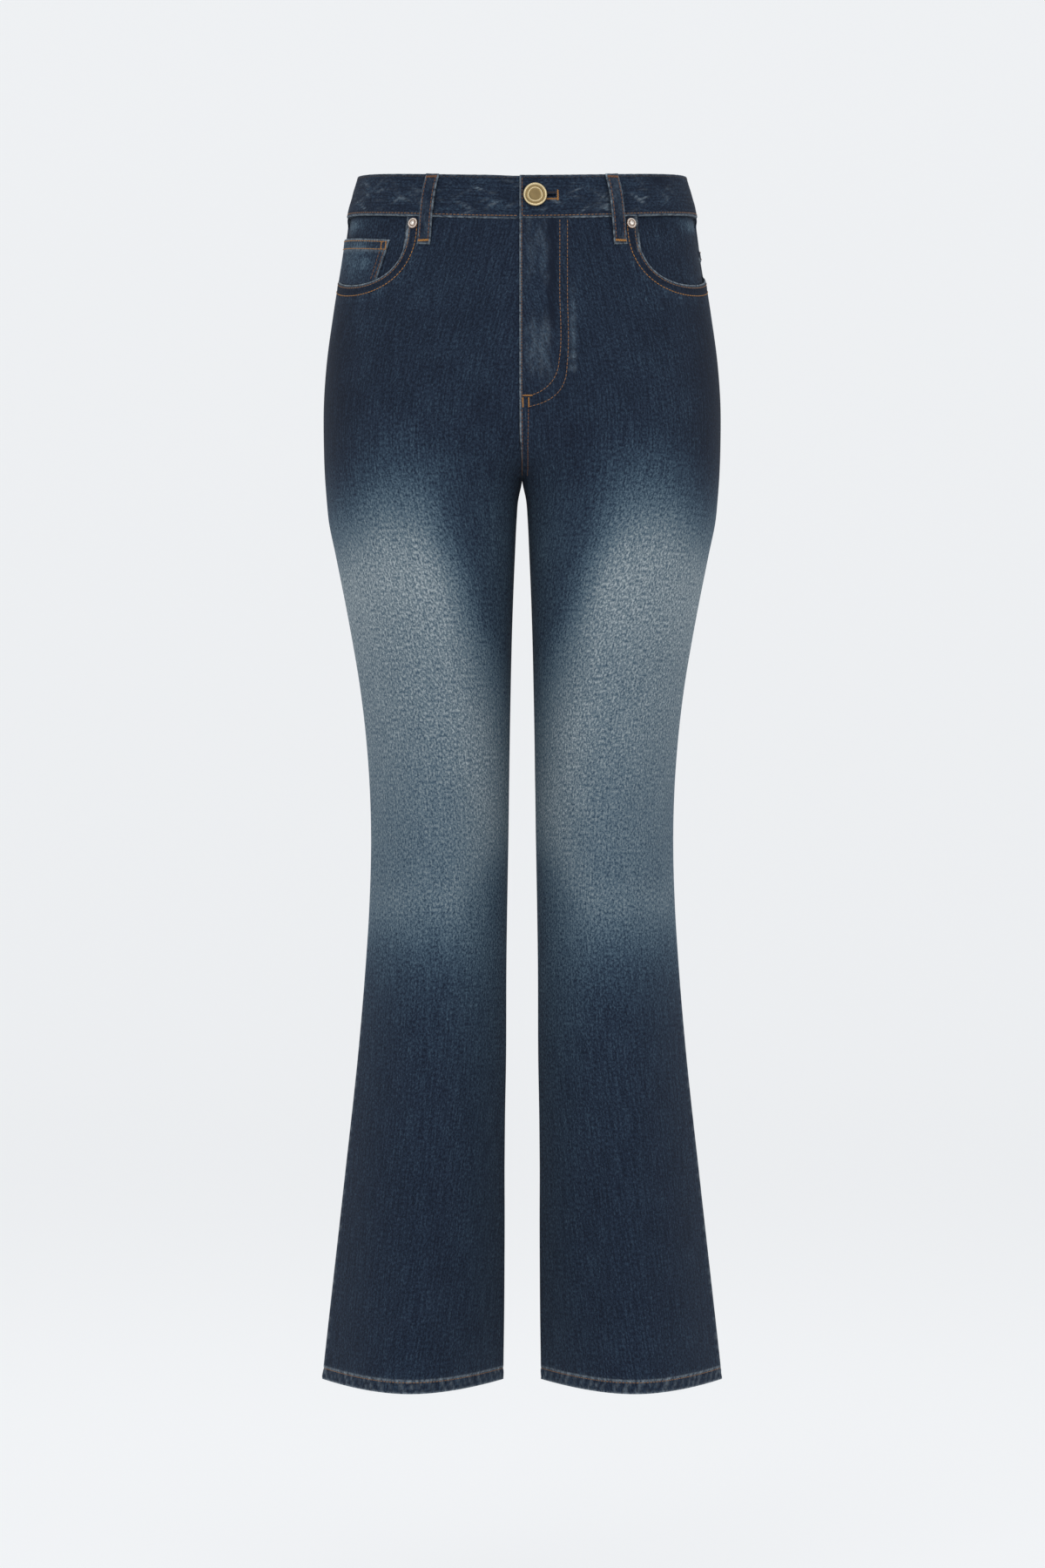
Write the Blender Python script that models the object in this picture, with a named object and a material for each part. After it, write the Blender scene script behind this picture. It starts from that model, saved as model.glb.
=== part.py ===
"""Bootcut jeans, hollow and open at the waist and both hems, in the shape they take when worn.

Metres, +Z up. The front faces -Y and the wearer's left is at +X. The origin is at the middle
of the waist, about halfway up the waistband, where the wearer holds the garment up.

All the cloth follows one smooth skin. A place on the skin is given by
  face   "front" or "back", the two halves that meet at the outseam and the inseam,
  s      how far along that half, from the outseam at 0 to the inseam or centre seam at 1,
  v      how far above the waist seam, in metres, so that it is negative on the legs,
  lift   how far outwards from the skin, in metres.
Panels are walls between two lifts. What lies on a panel is made from the same places, lifted.
"""

import math

import bmesh
import bpy
import numpy as np

MM = 0.001

# Cloth
DENIM = 1.2 * MM
SEAM_GAP = 0.3 * MM
HEM_DEPTH = 11.0 * MM
HEM_WALL = 2.6 * MM

# Heights, above the origin
HEM_Z = -1002.5 * MM
CROTCH_Z = -241.0 * MM

# The crotch seam starts between the legs, at CROTCH_Y. Above it the two legs' sections cross
# the middle, where each is cut off, and CROSSING says by how much they cross once the seam
# has risen by CROTCH_RISE to the centre front or back.
CROTCH_Y = -20.0 * MM
CROTCH_RISE = {"front": 70.0 * MM, "back": 125.0 * MM}
CROSSING = {"front": 220.0 * MM, "back": 300.0 * MM}
CROSSING_POWER = 1.6
INSEAM_STRAIGHTENS = 250.0 * MM

# The waistband
BAND_WALL = 2.4 * MM
BAND_LIFT = 1.0 * MM
BAND_HEIGHT = 36.8 * MM
BAND_HEIGHT_LOST_AT_SIDE = 2.5 * MM
BAND_EDGE_ROUNDING = 0.7 * MM
BAND_TOP_FRONT = 7.0 * MM
SLANT_FADES = 160.0 * MM

# The fly: the left front laps over the right one, and the layers below raise its edge. The
# right front and the end of the band carry on beneath.
FLY_LAP = 2.2 * MM
FLY_RAISE = DENIM + 2 * SEAM_GAP
FLY_BOTTOM_Z = -182.0 * MM
FLY_WIDTH = 41.0 * MM
SEAM_WIDTH = 12.0 * MM
FRONT_UNDERLAP = 4.0 * MM
BAND_UNDERLAP = 34.0 * MM
UNDERLAP_DEPTH = 1.7 * MM
ZIP_WIDTH = 26.0 * MM
ZIP_TAPE = 0.6 * MM
ZIP_CHAIN = 0.6 * MM

# Front pockets. The mouth's edge is a cubic curve, given by its ends and its two pulls in mm:
# along the cloth from the outseam, and above the waist seam. It is cut in MOUTH_STEPS.
MOUTH_CURVE_MM = ((0.0, -51.9), (4.5, -51.9), (125.1, -89.8), (98.1, -0.3))
MOUTH_STEPS = 9
BELOW_MOUTH_Z = -122.0 * MM
FACING_REACH = 114.0 * MM
FACING_FOOT = 71.0 * MM
FACING_GAP = 0.7 * MM
FACING_CORNER = 60.0 * MM
FACING_CORNER_DROP = 1.2 * MM

# Coin pocket, on the right facing
COIN_TOP = -20.5 * MM
COIN_TOP_SLOPE = 4.0 * MM
COIN_INNER_X = 111.0 * MM
COIN_INNER_SLANT = 4.5 * MM
COIN_SUNK = 0.2 * MM

# Back yokes and back pockets
YOKE_AT_SIDE = 34.0 * MM
YOKE_AT_CENTRE = 68.0 * MM
BACK_POCKET_WIDTH = 132.0 * MM
BACK_POCKET_FOOT_WIDTH = 114.0 * MM
BACK_POCKET_HEIGHT = 138.0 * MM
BACK_POCKET_POINT = 20.0 * MM
BACK_POCKET_FROM_CENTRE = 92.0 * MM
BACK_POCKET_BELOW_YOKE = 18.0 * MM
BACK_POCKET_HEM = 22.0 * MM
BACK_POCKET_HEM_WALL = 2.0 * MM
PATCH_GAP = 0.9 * MM

# Belt loops
LOOP_WIDTH = 11.4 * MM
LOOP_WALL = 2.0 * MM
LOOP_TAIL = 24.0 * MM

# Metal
BUTTON_RADIUS = 10.0 * MM
BUTTON_X = 10.6 * MM
BUTTON_V = 19.4 * MM
BUTTONHOLE_END_X = 28.0 * MM
BUTTONHOLE_WIDTH = 4.4 * MM
SHANK_RADIUS = 1.6 * MM
RIVET_RADIUS = 4.7 * MM
RIVET_X = 90.6 * MM
RIVET_V = -5.9 * MM

# How much a quarter of a section bulges: 0.552 would make it an ellipse
ROUNDNESS = 0.565
PINCH_FLATTENS = 1.4
OUTSEAM_SHARE = 0.35
EDGE_COLUMN = 6.0 * MM
TOWARDS_OUTSEAM = 1.2
CURVE_STEPS = 40

# One row for each height, in millimetres: how far the cloth reaches out to the side, in
# towards the other leg, forwards and backwards, and how far from the middle of the garment
# it reaches furthest forwards and backwards. The last column says by what part of its width
# a section is pinched at its seams.
SECTION_COLUMNS = ("z", "outer", "inner", "front", "back", "front_x", "back_x", "pinch")
SECTIONS_MM = (
    (50, 129.5, 0.0, 86.0, 88.0, 0, 0, 0),
    (16, 139.5, 0.0, 90.5, 93.5, 0, 0, 0),
    (-13, 147.6, 0.0, 94.5, 99.0, 0, 0, 0),
    (-50, 153.2, 0.0, 98.5, 107.0, 6, 10, 0),
    (-95, 160.4, 0.0, 102.0, 118.0, 18, 35, 0),
    (-140, 166.6, 0.0, 103.5, 126.0, 40, 62, 0),
    (-175, 169.0, 0.0, 103.8, 128.0, 60, 76, 0),
    (-205, 169.0, 0.0, 103.5, 124.5, 73, 82, 0),
    (-241, 167.5, 0.0, 102.0, 114.0, 82, 86, 0),
    (-258, 166.2, 3.4, 101.0, 109.1, 83, 86, 0.02),
    (-273, 164.7, 4.5, 99.8, 105.4, 83, 85, 0.03),
    (-302, 158.8, 5.9, 96.9, 99.4, 81, 83, 0.04),
    (-362, 147.0, 8.2, 89.5, 90.5, 77, 78, 0.07),
    (-421, 137.2, 9.6, 81.5, 83.0, 73, 74, 0.09),
    (-480, 131.1, 10.6, 73.5, 76.5, 71, 71, 0.10),
    (-540, 128.8, 11.4, 66.8, 71.5, 70, 70, 0.11),
    (-599, 130.2, 12.4, 62.8, 69.0, 71, 71, 0.12),
    (-658, 134.0, 13.2, 62.0, 68.8, 74, 74, 0.14),
    (-717, 139.0, 13.6, 63.8, 70.0, 77, 77, 0.16),
    (-836, 151.8, 14.8, 73.0, 75.0, 84, 84, 0.18),
    (-954, 165.0, 15.5, 83.5, 81.5, 91, 91, 0.21),
    (-1001, 170.2, 15.6, 88.0, 84.0, 93, 93, 0.22),
)

INDIGO = (0.030, 0.050, 0.095)
INDIGO_DARK = (0.018, 0.028, 0.055)
BRASS = (0.42, 0.33, 0.18)
RIVET_PLATING = (0.55, 0.50, 0.44)
ZIP_METAL = (0.45, 0.38, 0.26)


def smoothstep(x):
    x = np.clip(x, 0.0, 1.0)
    return x * x * (3.0 - 2.0 * x)


def column(name, z):
    """A column of the section table at heights z, in metres, on a cubic through its rows."""
    table = np.array(SECTIONS_MM[::-1]) * MM
    at = table[:, 0]
    values = table[:, SECTION_COLUMNS.index(name)]
    if name == "pinch":
        values = values / MM
    slopes = np.gradient(values, at)
    z = np.clip(z, at[0], at[-1])
    i = np.clip(np.searchsorted(at, z) - 1, 0, len(at) - 2)
    step = at[i + 1] - at[i]
    t = (z - at[i]) / step
    start = values[i] * (1 + 2 * t) * (1 - t) ** 2 + slopes[i] * step * t * (1 - t) ** 2
    end = values[i + 1] * t * t * (3 - 2 * t) + slopes[i + 1] * step * t * t * (t - 1)
    return start + end


def bezier(points, t):
    """A cubic curve for each row, through points[0] and points[3], at each of the row's t."""
    t = t[..., None]
    weights = ((1 - t) ** 3, 3 * t * (1 - t) ** 2, 3 * t * t * (1 - t), t**3)
    return sum(w * p[:, None, :] for w, p in zip(weights, points))


def end_at_middle(points):
    """The t at which each row's curve comes to the middle of the garment, or else 1."""
    low, high = np.zeros(len(points[0])), np.ones(len(points[0]))
    for _ in range(30):
        half = (low + high) / 2
        short = bezier(points, half[:, None])[:, 0, 0] > SEAM_GAP / 2
        low, high = np.where(short, half, low), np.where(short, high, half)
    return high


def section_curves(face, z):
    """The face's curve at each height, from the outseam to its inner edge, as 2-D points."""
    sign = -1.0 if face == "front" else 1.0
    above = np.maximum(z - CROTCH_Z, 0) / CROTCH_RISE[face]
    outer = column("outer", z)
    inner = column("inner", z) - CROSSING[face] * above**CROSSING_POWER
    crest_x = np.maximum(column(face + "_x", z), SEAM_GAP / 2)
    crest_y = sign * column(face, z)
    pinch = column("pinch", z)
    roundness = ROUNDNESS * (1 - PINCH_FLATTENS * pinch)
    middle_y = (column("back", z) - column("front", z)) / 2
    side_y = OUTSEAM_SHARE * 2 * middle_y
    inner_y = CROTCH_Y + (middle_y - CROTCH_Y) * smoothstep((CROTCH_Z - z) / INSEAM_STRAIGHTENS)
    out, across = outer - crest_x, crest_x - inner

    def point(x, y):
        return np.stack([x, y], -1)

    first = (
        point(outer, side_y),
        point(outer - pinch * out, side_y + roundness * (crest_y - side_y)),
        point(crest_x + roundness * out, crest_y),
        point(crest_x, crest_y),
    )
    second = (
        point(crest_x, crest_y),
        point(crest_x - roundness * across, crest_y),
        point(inner + pinch * across, inner_y + roundness * (crest_y - inner_y)),
        point(inner, inner_y),
    )
    t = np.broadcast_to(np.linspace(0, 1, CURVE_STEPS + 1), (len(z), CURVE_STEPS + 1))
    to_crest = bezier(first, t)
    to_seam = bezier(second, t * end_at_middle(second)[:, None])
    return np.concatenate([to_crest, to_seam[:, 1:]], axis=1)


def run_lengths(curves):
    steps = np.linalg.norm(np.diff(curves, axis=1), axis=-1)
    return np.concatenate([np.zeros((len(curves), 1)), np.cumsum(steps, axis=1)], axis=1)


def on_section(face, s, z):
    """Points of the skin at fractions s and heights z. Past s = 1 it goes on round the front
    or back of the other side."""
    s, z = (np.asarray(a, float).ravel() for a in np.broadcast_arrays(s, z))
    beyond = s > 1
    curves = section_curves(face, z)
    run = run_lengths(curves)
    target = np.where(beyond, 2 - s, s) * run[:, -1]
    i = np.clip((run < target[:, None]).sum(axis=1) - 1, 0, curves.shape[1] - 2)
    rows = np.arange(len(s))
    span = np.maximum(run[rows, i + 1] - run[rows, i], 1e-9)
    part = np.clip((target - run[rows, i]) / span, 0, 1)[:, None]
    xy = curves[rows, i] * (1 - part) + curves[rows, i + 1] * part
    xy[beyond, 0] *= -1
    return np.column_stack([xy, z])


def face_length(face, z):
    z = np.asarray(z, float)
    return run_lengths(section_curves(face, z.ravel()))[:, -1].reshape(z.shape)


def band_top_z(face, s):
    """Height of the waistband's top edge: low at the front, high at the back."""
    depth = np.sin(np.clip(np.where(s > 1, 2 - s, s), 0, 1) * math.pi / 2)
    if face == "front":
        u = 1 - depth
        return BAND_TOP_FRONT + 13.5 * MM * u - 2.0 * MM * u**4
    return BAND_TOP_FRONT + 11.5 * MM + 5.5 * MM * depth + 10.0 * MM * depth**2


def band_height(s):
    depth = np.sin(np.clip(np.where(s > 1, 2 - s, s), 0, 1) * math.pi / 2)
    return BAND_HEIGHT - BAND_HEIGHT_LOST_AT_SIDE * (1 - depth**2)


def waist_seam_z(face, s):
    return band_top_z(face, s) - band_height(s)


SEAM_AT_SIDE_Z = float(waist_seam_z("front", np.array(0.0)))


def height(face, s, v):
    """The height z of a place v above the waist seam. The seam's slant fades down the hips."""
    s, v = np.broadcast_arrays(np.asarray(s, float), np.asarray(v, float))
    seam = waist_seam_z(face, s)
    on_band = seam + v * band_height(s) / BAND_HEIGHT
    slant = smoothstep(1 + v / SLANT_FADES)
    below = v + SEAM_AT_SIDE_Z + slant * (seam - SEAM_AT_SIDE_Z)
    return np.where(v > 0, on_band, below)


def v_of(z):
    """v for a height z on the legs and the lower hips, where the slant has faded."""
    return z - SEAM_AT_SIDE_Z


def on_leg_seam(face, s, z):
    """Whether each place is at the outseam or the inseam, where two walls meet at an angle."""
    nearest = np.where(z < CROTCH_Z, np.minimum(s, 1 - s), s)
    return nearest * face_length(face, z) < SEAM_GAP


def skin(side, face, s, v, lift=0.0):
    """Points on the garment, an array of the shape of s with three coordinates added."""
    s, v, lift = np.broadcast_arrays(*(np.asarray(a, float) for a in (s, v, lift)))
    shape, s, v = s.shape, s.ravel(), v.ravel()
    ds, dv = 1e-3, 0.2 * MM
    ahead = np.where(s > 1, s + ds, np.minimum(s + ds, 1))
    behind = np.where(s > 1, np.maximum(s - ds, 1), np.maximum(s - ds, 0))
    place = on_section(face, s, height(face, s, v))
    along = on_section(face, ahead, height(face, ahead, v)) - on_section(
        face, behind, height(face, behind, v)
    )
    up = on_section(face, s, height(face, s, v + dv)) - on_section(face, s, height(face, s, v - dv))
    normal = np.cross(along, up) if face == "front" else np.cross(up, along)
    normal /= -np.linalg.norm(normal, axis=1)[:, None]
    mitred = on_leg_seam(face, s, place[:, 2])
    normal[mitred] = np.array([1, 0, 0]) / normal[mitred, :1]
    points = (place + normal * lift.ravel()[:, None]).reshape(*shape, 3)
    return points * np.array([side, 1, 1])


def s_at_x(face, v, x):
    """The fraction s at which the skin, at v, lies x from the middle of the garment."""
    s = np.linspace(0, 1, 400)
    xs = skin(1, face, s, np.full_like(s, v))[:, 0]
    return float(np.interp(x, xs[::-1], s[::-1]))


def fraction(face, s, v, distance):
    """A distance along the skin as a step in s."""
    return distance / face_length(face, height(face, s, v))


def material(name, colour, roughness, metallic=0.0):
    made = bpy.data.materials.get(name) or bpy.data.materials.new(name)
    made.use_nodes = True
    shader = made.node_tree.nodes["Principled BSDF"]
    shader.inputs["Base Color"].default_value = (*colour, 1)
    shader.inputs["Roughness"].default_value = roughness
    shader.inputs["Metallic"].default_value = metallic
    return made


def solid(name, vertices, faces, finish):
    """A closed mesh object, its faces turned outwards."""
    mesh = bpy.data.meshes.new(name)
    mesh.from_pydata([tuple(v) for v in vertices], [], faces)
    shell = bmesh.new()
    shell.from_mesh(mesh)
    if shell.calc_volume(signed=True) < 0:
        bmesh.ops.reverse_faces(shell, faces=shell.faces)
    shell.to_mesh(mesh)
    shell.free()
    mesh.shade_smooth()
    mesh.set_sharp_from_angle(angle=math.radians(40))
    obj = bpy.data.objects.new(name, mesh)
    obj.data.materials.append(finish)
    bpy.context.scene.collection.objects.link(obj)
    return obj


def grid_quads(index):
    a, b, c, d = index[:-1, :-1], index[:-1, 1:], index[1:, 1:], index[1:, :-1]
    return np.stack([a, b, c, d], -1).reshape(-1, 4)


def wall(name, outside, inside, finish):
    """A closed wall between two grids of points of the same shape."""
    rows, columns = outside.shape[:2]
    near = np.arange(rows * columns).reshape(rows, columns)
    far = near + rows * columns
    faces = [grid_quads(near), grid_quads(far)[:, ::-1]]
    rim = np.concatenate([near[0, :-1], near[:-1, -1], near[-1, :0:-1], near[:0:-1, 0]])
    after = np.roll(rim, -1)
    depth = rows * columns
    faces.append(np.stack([after, rim, rim + depth, after + depth], -1))
    vertices = np.concatenate([outside.reshape(-1, 3), inside.reshape(-1, 3)])
    return solid(name, vertices, np.concatenate(faces).tolist(), finish)


def panel(name, side, face, s, v, lift, thickness, finish):
    """A wall of cloth on the skin. lift is that of its outer side."""
    outside = skin(side, face, s, v, lift)
    inside = skin(side, face, s, v, np.asarray(lift) - thickness)
    return wall(name, outside, inside, finish)


def bar(name, rings, finish):
    """A solid through rings of points, closed by its first and last ring."""
    rings = np.asarray(rings)
    count, around = rings.shape[:2]
    index = np.arange(count * around).reshape(count, around)
    looped = np.concatenate([index, index[:, :1]], axis=1)
    faces = grid_quads(looped).tolist()
    faces += [index[0, ::-1].tolist(), index[-1].tolist()]
    return solid(name, rings.reshape(-1, 3), faces, finish)


def turned(name, profile, steps, base, axis, finish):
    """A solid turned about an axis. The profile is (radius, height) pairs and starts and ends
    on the axis."""
    axis = np.asarray(axis) / np.linalg.norm(axis)
    across = np.cross(axis, (0, 0, 1))
    across /= np.linalg.norm(across)
    third = np.cross(axis, across)
    angles = np.arange(steps) * 2 * math.pi / steps
    spokes = np.cos(angles)[:, None] * across + np.sin(angles)[:, None] * third
    vertices = [base + axis * profile[0][1], base + axis * profile[-1][1]]
    rings = []
    for radius, along in profile[1:-1]:
        rings.append(range(len(vertices), len(vertices) + steps))
        vertices.extend(base + axis * along + spokes * radius)
    faces = []
    for k in range(steps):
        n = (k + 1) % steps
        faces.append((0, rings[0][k], rings[0][n]))
        faces.append((1, rings[-1][n], rings[-1][k]))
        for low, high in zip(rings, rings[1:]):
            faces.append((low[k], high[k], high[n], low[n]))
    return solid(name, vertices, faces, finish)


def mouth_edge():
    """(arc, v) at each step along the mouth, from the outseam up to the waist seam. arc is the
    distance along the cloth from the outseam."""
    t = np.linspace(0, 1, MOUTH_STEPS + 1)[None, :]
    points = [np.array([point]) * MM for point in MOUTH_CURVE_MM]
    return bezier(points, t)[0].T


def s_at_arc(arc, v):
    """The fraction s of places on the front at a distance arc from the outseam."""
    return arc / face_length("front", height("front", arc / 0.2, v))


def leg_heights(spacing):
    """Heights of the rows from the hem to just below the crotch, closer at both ends."""
    plain = HEM_Z + HEM_DEPTH + 0.5 * MM
    count = round((-273 * MM - plain) / spacing)
    rows = [HEM_Z, HEM_Z + HEM_DEPTH]
    rows += list(np.linspace(plain, -273 * MM, count + 1))
    return rows + [-258 * MM, -248 * MM, -243 * MM, CROTCH_Z]


def hem_wall(z):
    return np.where(z < HEM_Z + HEM_DEPTH + 0.1 * MM, HEM_WALL, DENIM)


def crotch_heights(face, count):
    """Heights from the crotch to where its seam has reached the centre front or back, even
    along the seam."""
    steps = np.linspace(0, math.pi / 2, count + 1)[1:]
    return list(CROTCH_Z + CROTCH_RISE[face] * (1 - np.cos(steps)))


def centre_edge(side, z):
    """How far past the middle a front reaches at z. The left one laps over the right one."""
    lap = FLY_LAP * float(smoothstep((z - (CROTCH_Z + 5 * MM)) / (30 * MM)))
    if side > 0:
        return lap
    if z > FLY_BOTTOM_Z:
        return FRONT_UNDERLAP
    return -(lap + SEAM_GAP) if lap > 0 else 0.0


def fly_lift(s, v):
    """How far the layers of the fly raise the left front, near its edge."""
    z = height("front", s, v)
    beside = (1 - np.asarray(s)) * face_length("front", z)
    width = SEAM_WIDTH + (FLY_WIDTH - SEAM_WIDTH) * smoothstep((z - FLY_BOTTOM_Z) / (12 * MM))
    raised = smoothstep((z - (CROTCH_Z + 6 * MM)) / (26 * MM))
    return FLY_RAISE * raised * smoothstep((width + 4 * MM - beside) / (12 * MM))


def front_row(side, v, columns):
    """The fractions s along one level row of a front, with a column close to its edge."""
    z = float(height("front", 1.0, v))
    length = float(face_length("front", z))
    trim = SEAM_GAP / 2 / length
    end = 1 - trim if z <= CROTCH_Z else 1 + centre_edge(side, z) / length
    beside_edge = end - EDGE_COLUMN / length
    share = np.linspace(0, 1, columns) ** TOWARDS_OUTSEAM
    return np.append(trim + (beside_edge - trim) * share, end)


def front_panel(name, side, finish):
    """One front. Its rows are level up to BELOW_MOUTH_Z, and from there they turn by and by
    into its top edge, which is the mouth's edge and then the waist seam."""
    columns = 17
    top_rows = 5
    z_rows = leg_heights(38 * MM) + crotch_heights("front", 6) + [-148 * MM, BELOW_MOUTH_Z]
    v_rows = [v_of(z) for z in z_rows]
    s_grid = [front_row(side, v, columns) for v in v_rows]
    v_grid = [np.full_like(s, v) for s, v in zip(s_grid, v_rows)]
    base_s, base_v = s_grid[-1], v_grid[-1]
    mouth_arcs, mouth_vs = mouth_edge()
    mouth_s = s_at_arc(mouth_arcs, mouth_vs)
    mouth_s[0] = base_s[0]
    seam_s = front_row(side, -SEAM_GAP, columns)[-2:]
    to_fly = np.linspace(mouth_s[-1], seam_s[0], columns - MOUTH_STEPS)[1:]
    top_s = np.concatenate([mouth_s, to_fly, seam_s[1:]])
    top_v = np.concatenate([mouth_vs, np.full(columns - MOUTH_STEPS, -SEAM_GAP)])
    for k in range(1, top_rows + 1):
        s_grid.append(base_s + (top_s - base_s) * k / top_rows)
        v_grid.append(base_v + (top_v - base_v) * k / top_rows)
    s_grid, v_grid = np.array(s_grid), np.array(v_grid)
    lifts = fly_lift(s_grid, v_grid) if side > 0 else 0.0
    walls = hem_wall(v_grid + SEAM_AT_SIDE_Z)
    return panel(name, side, "front", s_grid, v_grid, lifts, walls, finish)


def yoke_v(s):
    return -(YOKE_AT_SIDE + (YOKE_AT_CENTRE - YOKE_AT_SIDE) * np.asarray(s))


def back_panel(name, side, finish):
    """One back: the wall from the hem to the yoke seam."""
    columns = 14
    top_rows = 4
    z_rows = leg_heights(38 * MM) + crotch_heights("back", 9)
    s_grid, v_grid, walls = [], [], []
    for z in z_rows:
        length = float(face_length("back", z))
        trim = SEAM_GAP / 2 / length
        end = 1 - trim if z <= CROTCH_Z else 1.0
        s = trim + (end - trim) * np.linspace(0, 1, columns + 1) ** TOWARDS_OUTSEAM
        s_grid.append(s)
        v_grid.append(np.full_like(s, v_of(z)))
        walls.append(np.full_like(s, float(hem_wall(z))))
    base = v_grid[-1][0]
    for k in range(1, top_rows + 1):
        s = s_grid[-1]
        s_grid.append(s)
        v_grid.append(base + (yoke_v(s) - SEAM_GAP - base) * k / top_rows)
        walls.append(np.full_like(s, DENIM))
    s_grid, v_grid, walls = (np.array(a) for a in (s_grid, v_grid, walls))
    return panel(name, side, "back", s_grid, v_grid, 0.0, walls, finish)


def yoke(name, side, finish):
    columns, rows = 14, 4
    length = float(face_length("back", height("back", 0.5, -30 * MM)))
    s = np.linspace(SEAM_GAP / 2 / length, 1.0, columns + 1)
    share = np.linspace(0, 1, rows)[:, None]
    v = yoke_v(s)[None, :] * (1 - share) - SEAM_GAP * share
    s = np.broadcast_to(s, v.shape)
    return panel(name, side, "back", s, v, 0.0, DENIM, finish)


def pocket_facing(name, side, finish):
    """The denim that shows in the mouth of a front pocket, one layer behind the front."""
    arcs = np.linspace(SEAM_GAP / 2, FACING_REACH, 10)
    v = np.linspace(-FACING_FOOT, -SEAM_GAP, 7)
    arcs, v = np.meshgrid(arcs, v)
    s = s_at_arc(arcs, v)
    sunk = FACING_GAP + FACING_CORNER_DROP * smoothstep(1 - arcs / FACING_CORNER)
    return panel(name, side, "front", s, v, -DENIM - sunk, DENIM, finish)


def coin_pocket(name, side, finish):
    """The small patch on the right facing. The front pocket's mouth covers its foot."""
    columns, rows = 8, 5
    top_s = s_at_x("front", COIN_TOP, COIN_INNER_X)
    reach = top_s * float(face_length("front", height("front", top_s, COIN_TOP)))
    share = np.linspace(0, 1, columns + 1)[None, :]
    up = np.linspace(0, 1, rows)[:, None]
    arcs = 3 * MM + (reach - 3 * MM + COIN_INNER_SLANT * (up - 1)) * share
    top = COIN_TOP - COIN_TOP_SLOPE * (share - 1) * 0.5
    foot = np.interp(arcs, *mouth_edge()) + SEAM_GAP * 1.5
    v = foot + (top - foot) * up
    s = s_at_arc(arcs, v)
    return panel(name, side, "front", s, v, -COIN_SUNK, DENIM, finish)


def back_pocket(name, side, finish):
    """A patch pocket with a folded hem and a pointed foot, lying on the back and set
    square to the yoke seam."""
    across = np.linspace(-1, 1, 11)[None, :]
    hem = BACK_POCKET_HEM / BACK_POCKET_HEIGHT
    down = np.concatenate([[0, hem], np.linspace(hem + 0.01, 1, 9)])[:, None]
    centre_z = height("back", 0.6, yoke_v(0.6) - BACK_POCKET_BELOW_YOKE)
    length = float(face_length("back", centre_z))
    centre_s = 1 - BACK_POCKET_FROM_CENTRE / length
    half = (BACK_POCKET_WIDTH + (BACK_POCKET_FOOT_WIDTH - BACK_POCKET_WIDTH) * down) / 2
    depth = BACK_POCKET_HEIGHT * down - BACK_POCKET_POINT * np.abs(across) * down
    s = centre_s + across * half / length
    v = yoke_v(s) - BACK_POCKET_BELOW_YOKE - depth
    lift = PATCH_GAP + np.where(down <= hem, BACK_POCKET_HEM_WALL, DENIM)
    outside = skin(side, "back", s, v, lift)
    inside = skin(side, "back", s, v, PATCH_GAP)
    return wall(name, outside, inside, finish)


def fly_zip(name, finish):
    """The closed zip behind the fly: a strip of tape with the chain as a ridge down it."""
    rows, columns = 7, 7
    v = np.linspace(v_of(FLY_BOTTOM_Z + 8 * MM), -SEAM_GAP * 1.5, rows)
    xs = np.linspace(-ZIP_WIDTH / 2, ZIP_WIDTH / 2, columns)
    s = np.array([[s_at_x("front", level, abs(x)) for x in xs] for level in v])
    s = np.where(xs < 0, 2 - s, s)
    v = np.broadcast_to(v[:, None], s.shape)
    depth = -DENIM - FACING_GAP
    chain = ZIP_CHAIN * (np.abs(xs) < 1 * MM)[None, :]
    outside = skin(1, "front", s, v, depth)
    inside = skin(1, "front", s, v, depth - ZIP_TAPE - chain)
    return wall(name, outside, inside, finish)


def loop_place(t):
    """(side, face, s) for a place t round the waist: 0 at the centre front, then by way of the
    wearer's right outseam at 1, the centre back at 2 and the left outseam at 3, to 4."""
    quarter, part = int(math.floor(t)) % 4, t - math.floor(t)
    return ((-1, "front", 1 - part), (-1, "back", part), (1, "back", 1 - part), (1, "front", part))[quarter]


def waistband(name, finish):
    """One band round the waist. Its left end laps over its right end at the fly, and the
    buttonhole is cut through the end that shows."""
    length = float(face_length("front", height("front", 1.0, BAND_HEIGHT / 2)))
    under_end = -BAND_UNDERLAP / length
    over_end = 4 + FLY_LAP / length
    dive_start = 32 * MM / length
    stations = np.concatenate(
        [np.linspace(under_end, dive_start, 11), np.linspace(dive_start, over_end, 62)[1:]]
    )
    rings = []
    for t in stations:
        side, face, s = loop_place(float(t))
        sink = float(smoothstep((dive_start - t) / (dive_start - 2 * MM / length)))
        outer = BAND_LIFT - (BAND_LIFT + UNDERLAP_DEPTH) * sink
        inner = outer - BAND_WALL
        soft = BAND_EDGE_ROUNDING
        profile = (
            (0, inner + soft / 2),
            (0, outer - soft / 2),
            (soft, outer),
            (BAND_HEIGHT / 2, outer),
            (BAND_HEIGHT - soft, outer),
            (BAND_HEIGHT, outer - soft),
            (BAND_HEIGHT, inner + soft),
            (BAND_HEIGHT - soft, inner),
            (BAND_HEIGHT / 2, inner),
            (soft, inner),
        )
        v, lift = np.array(profile).T
        rings.append(skin(side, face, np.full(len(v), s), v + 1e-7, lift))
    band = bar(name, rings, finish)
    cut_buttonhole(band, finish)
    return band


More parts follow.
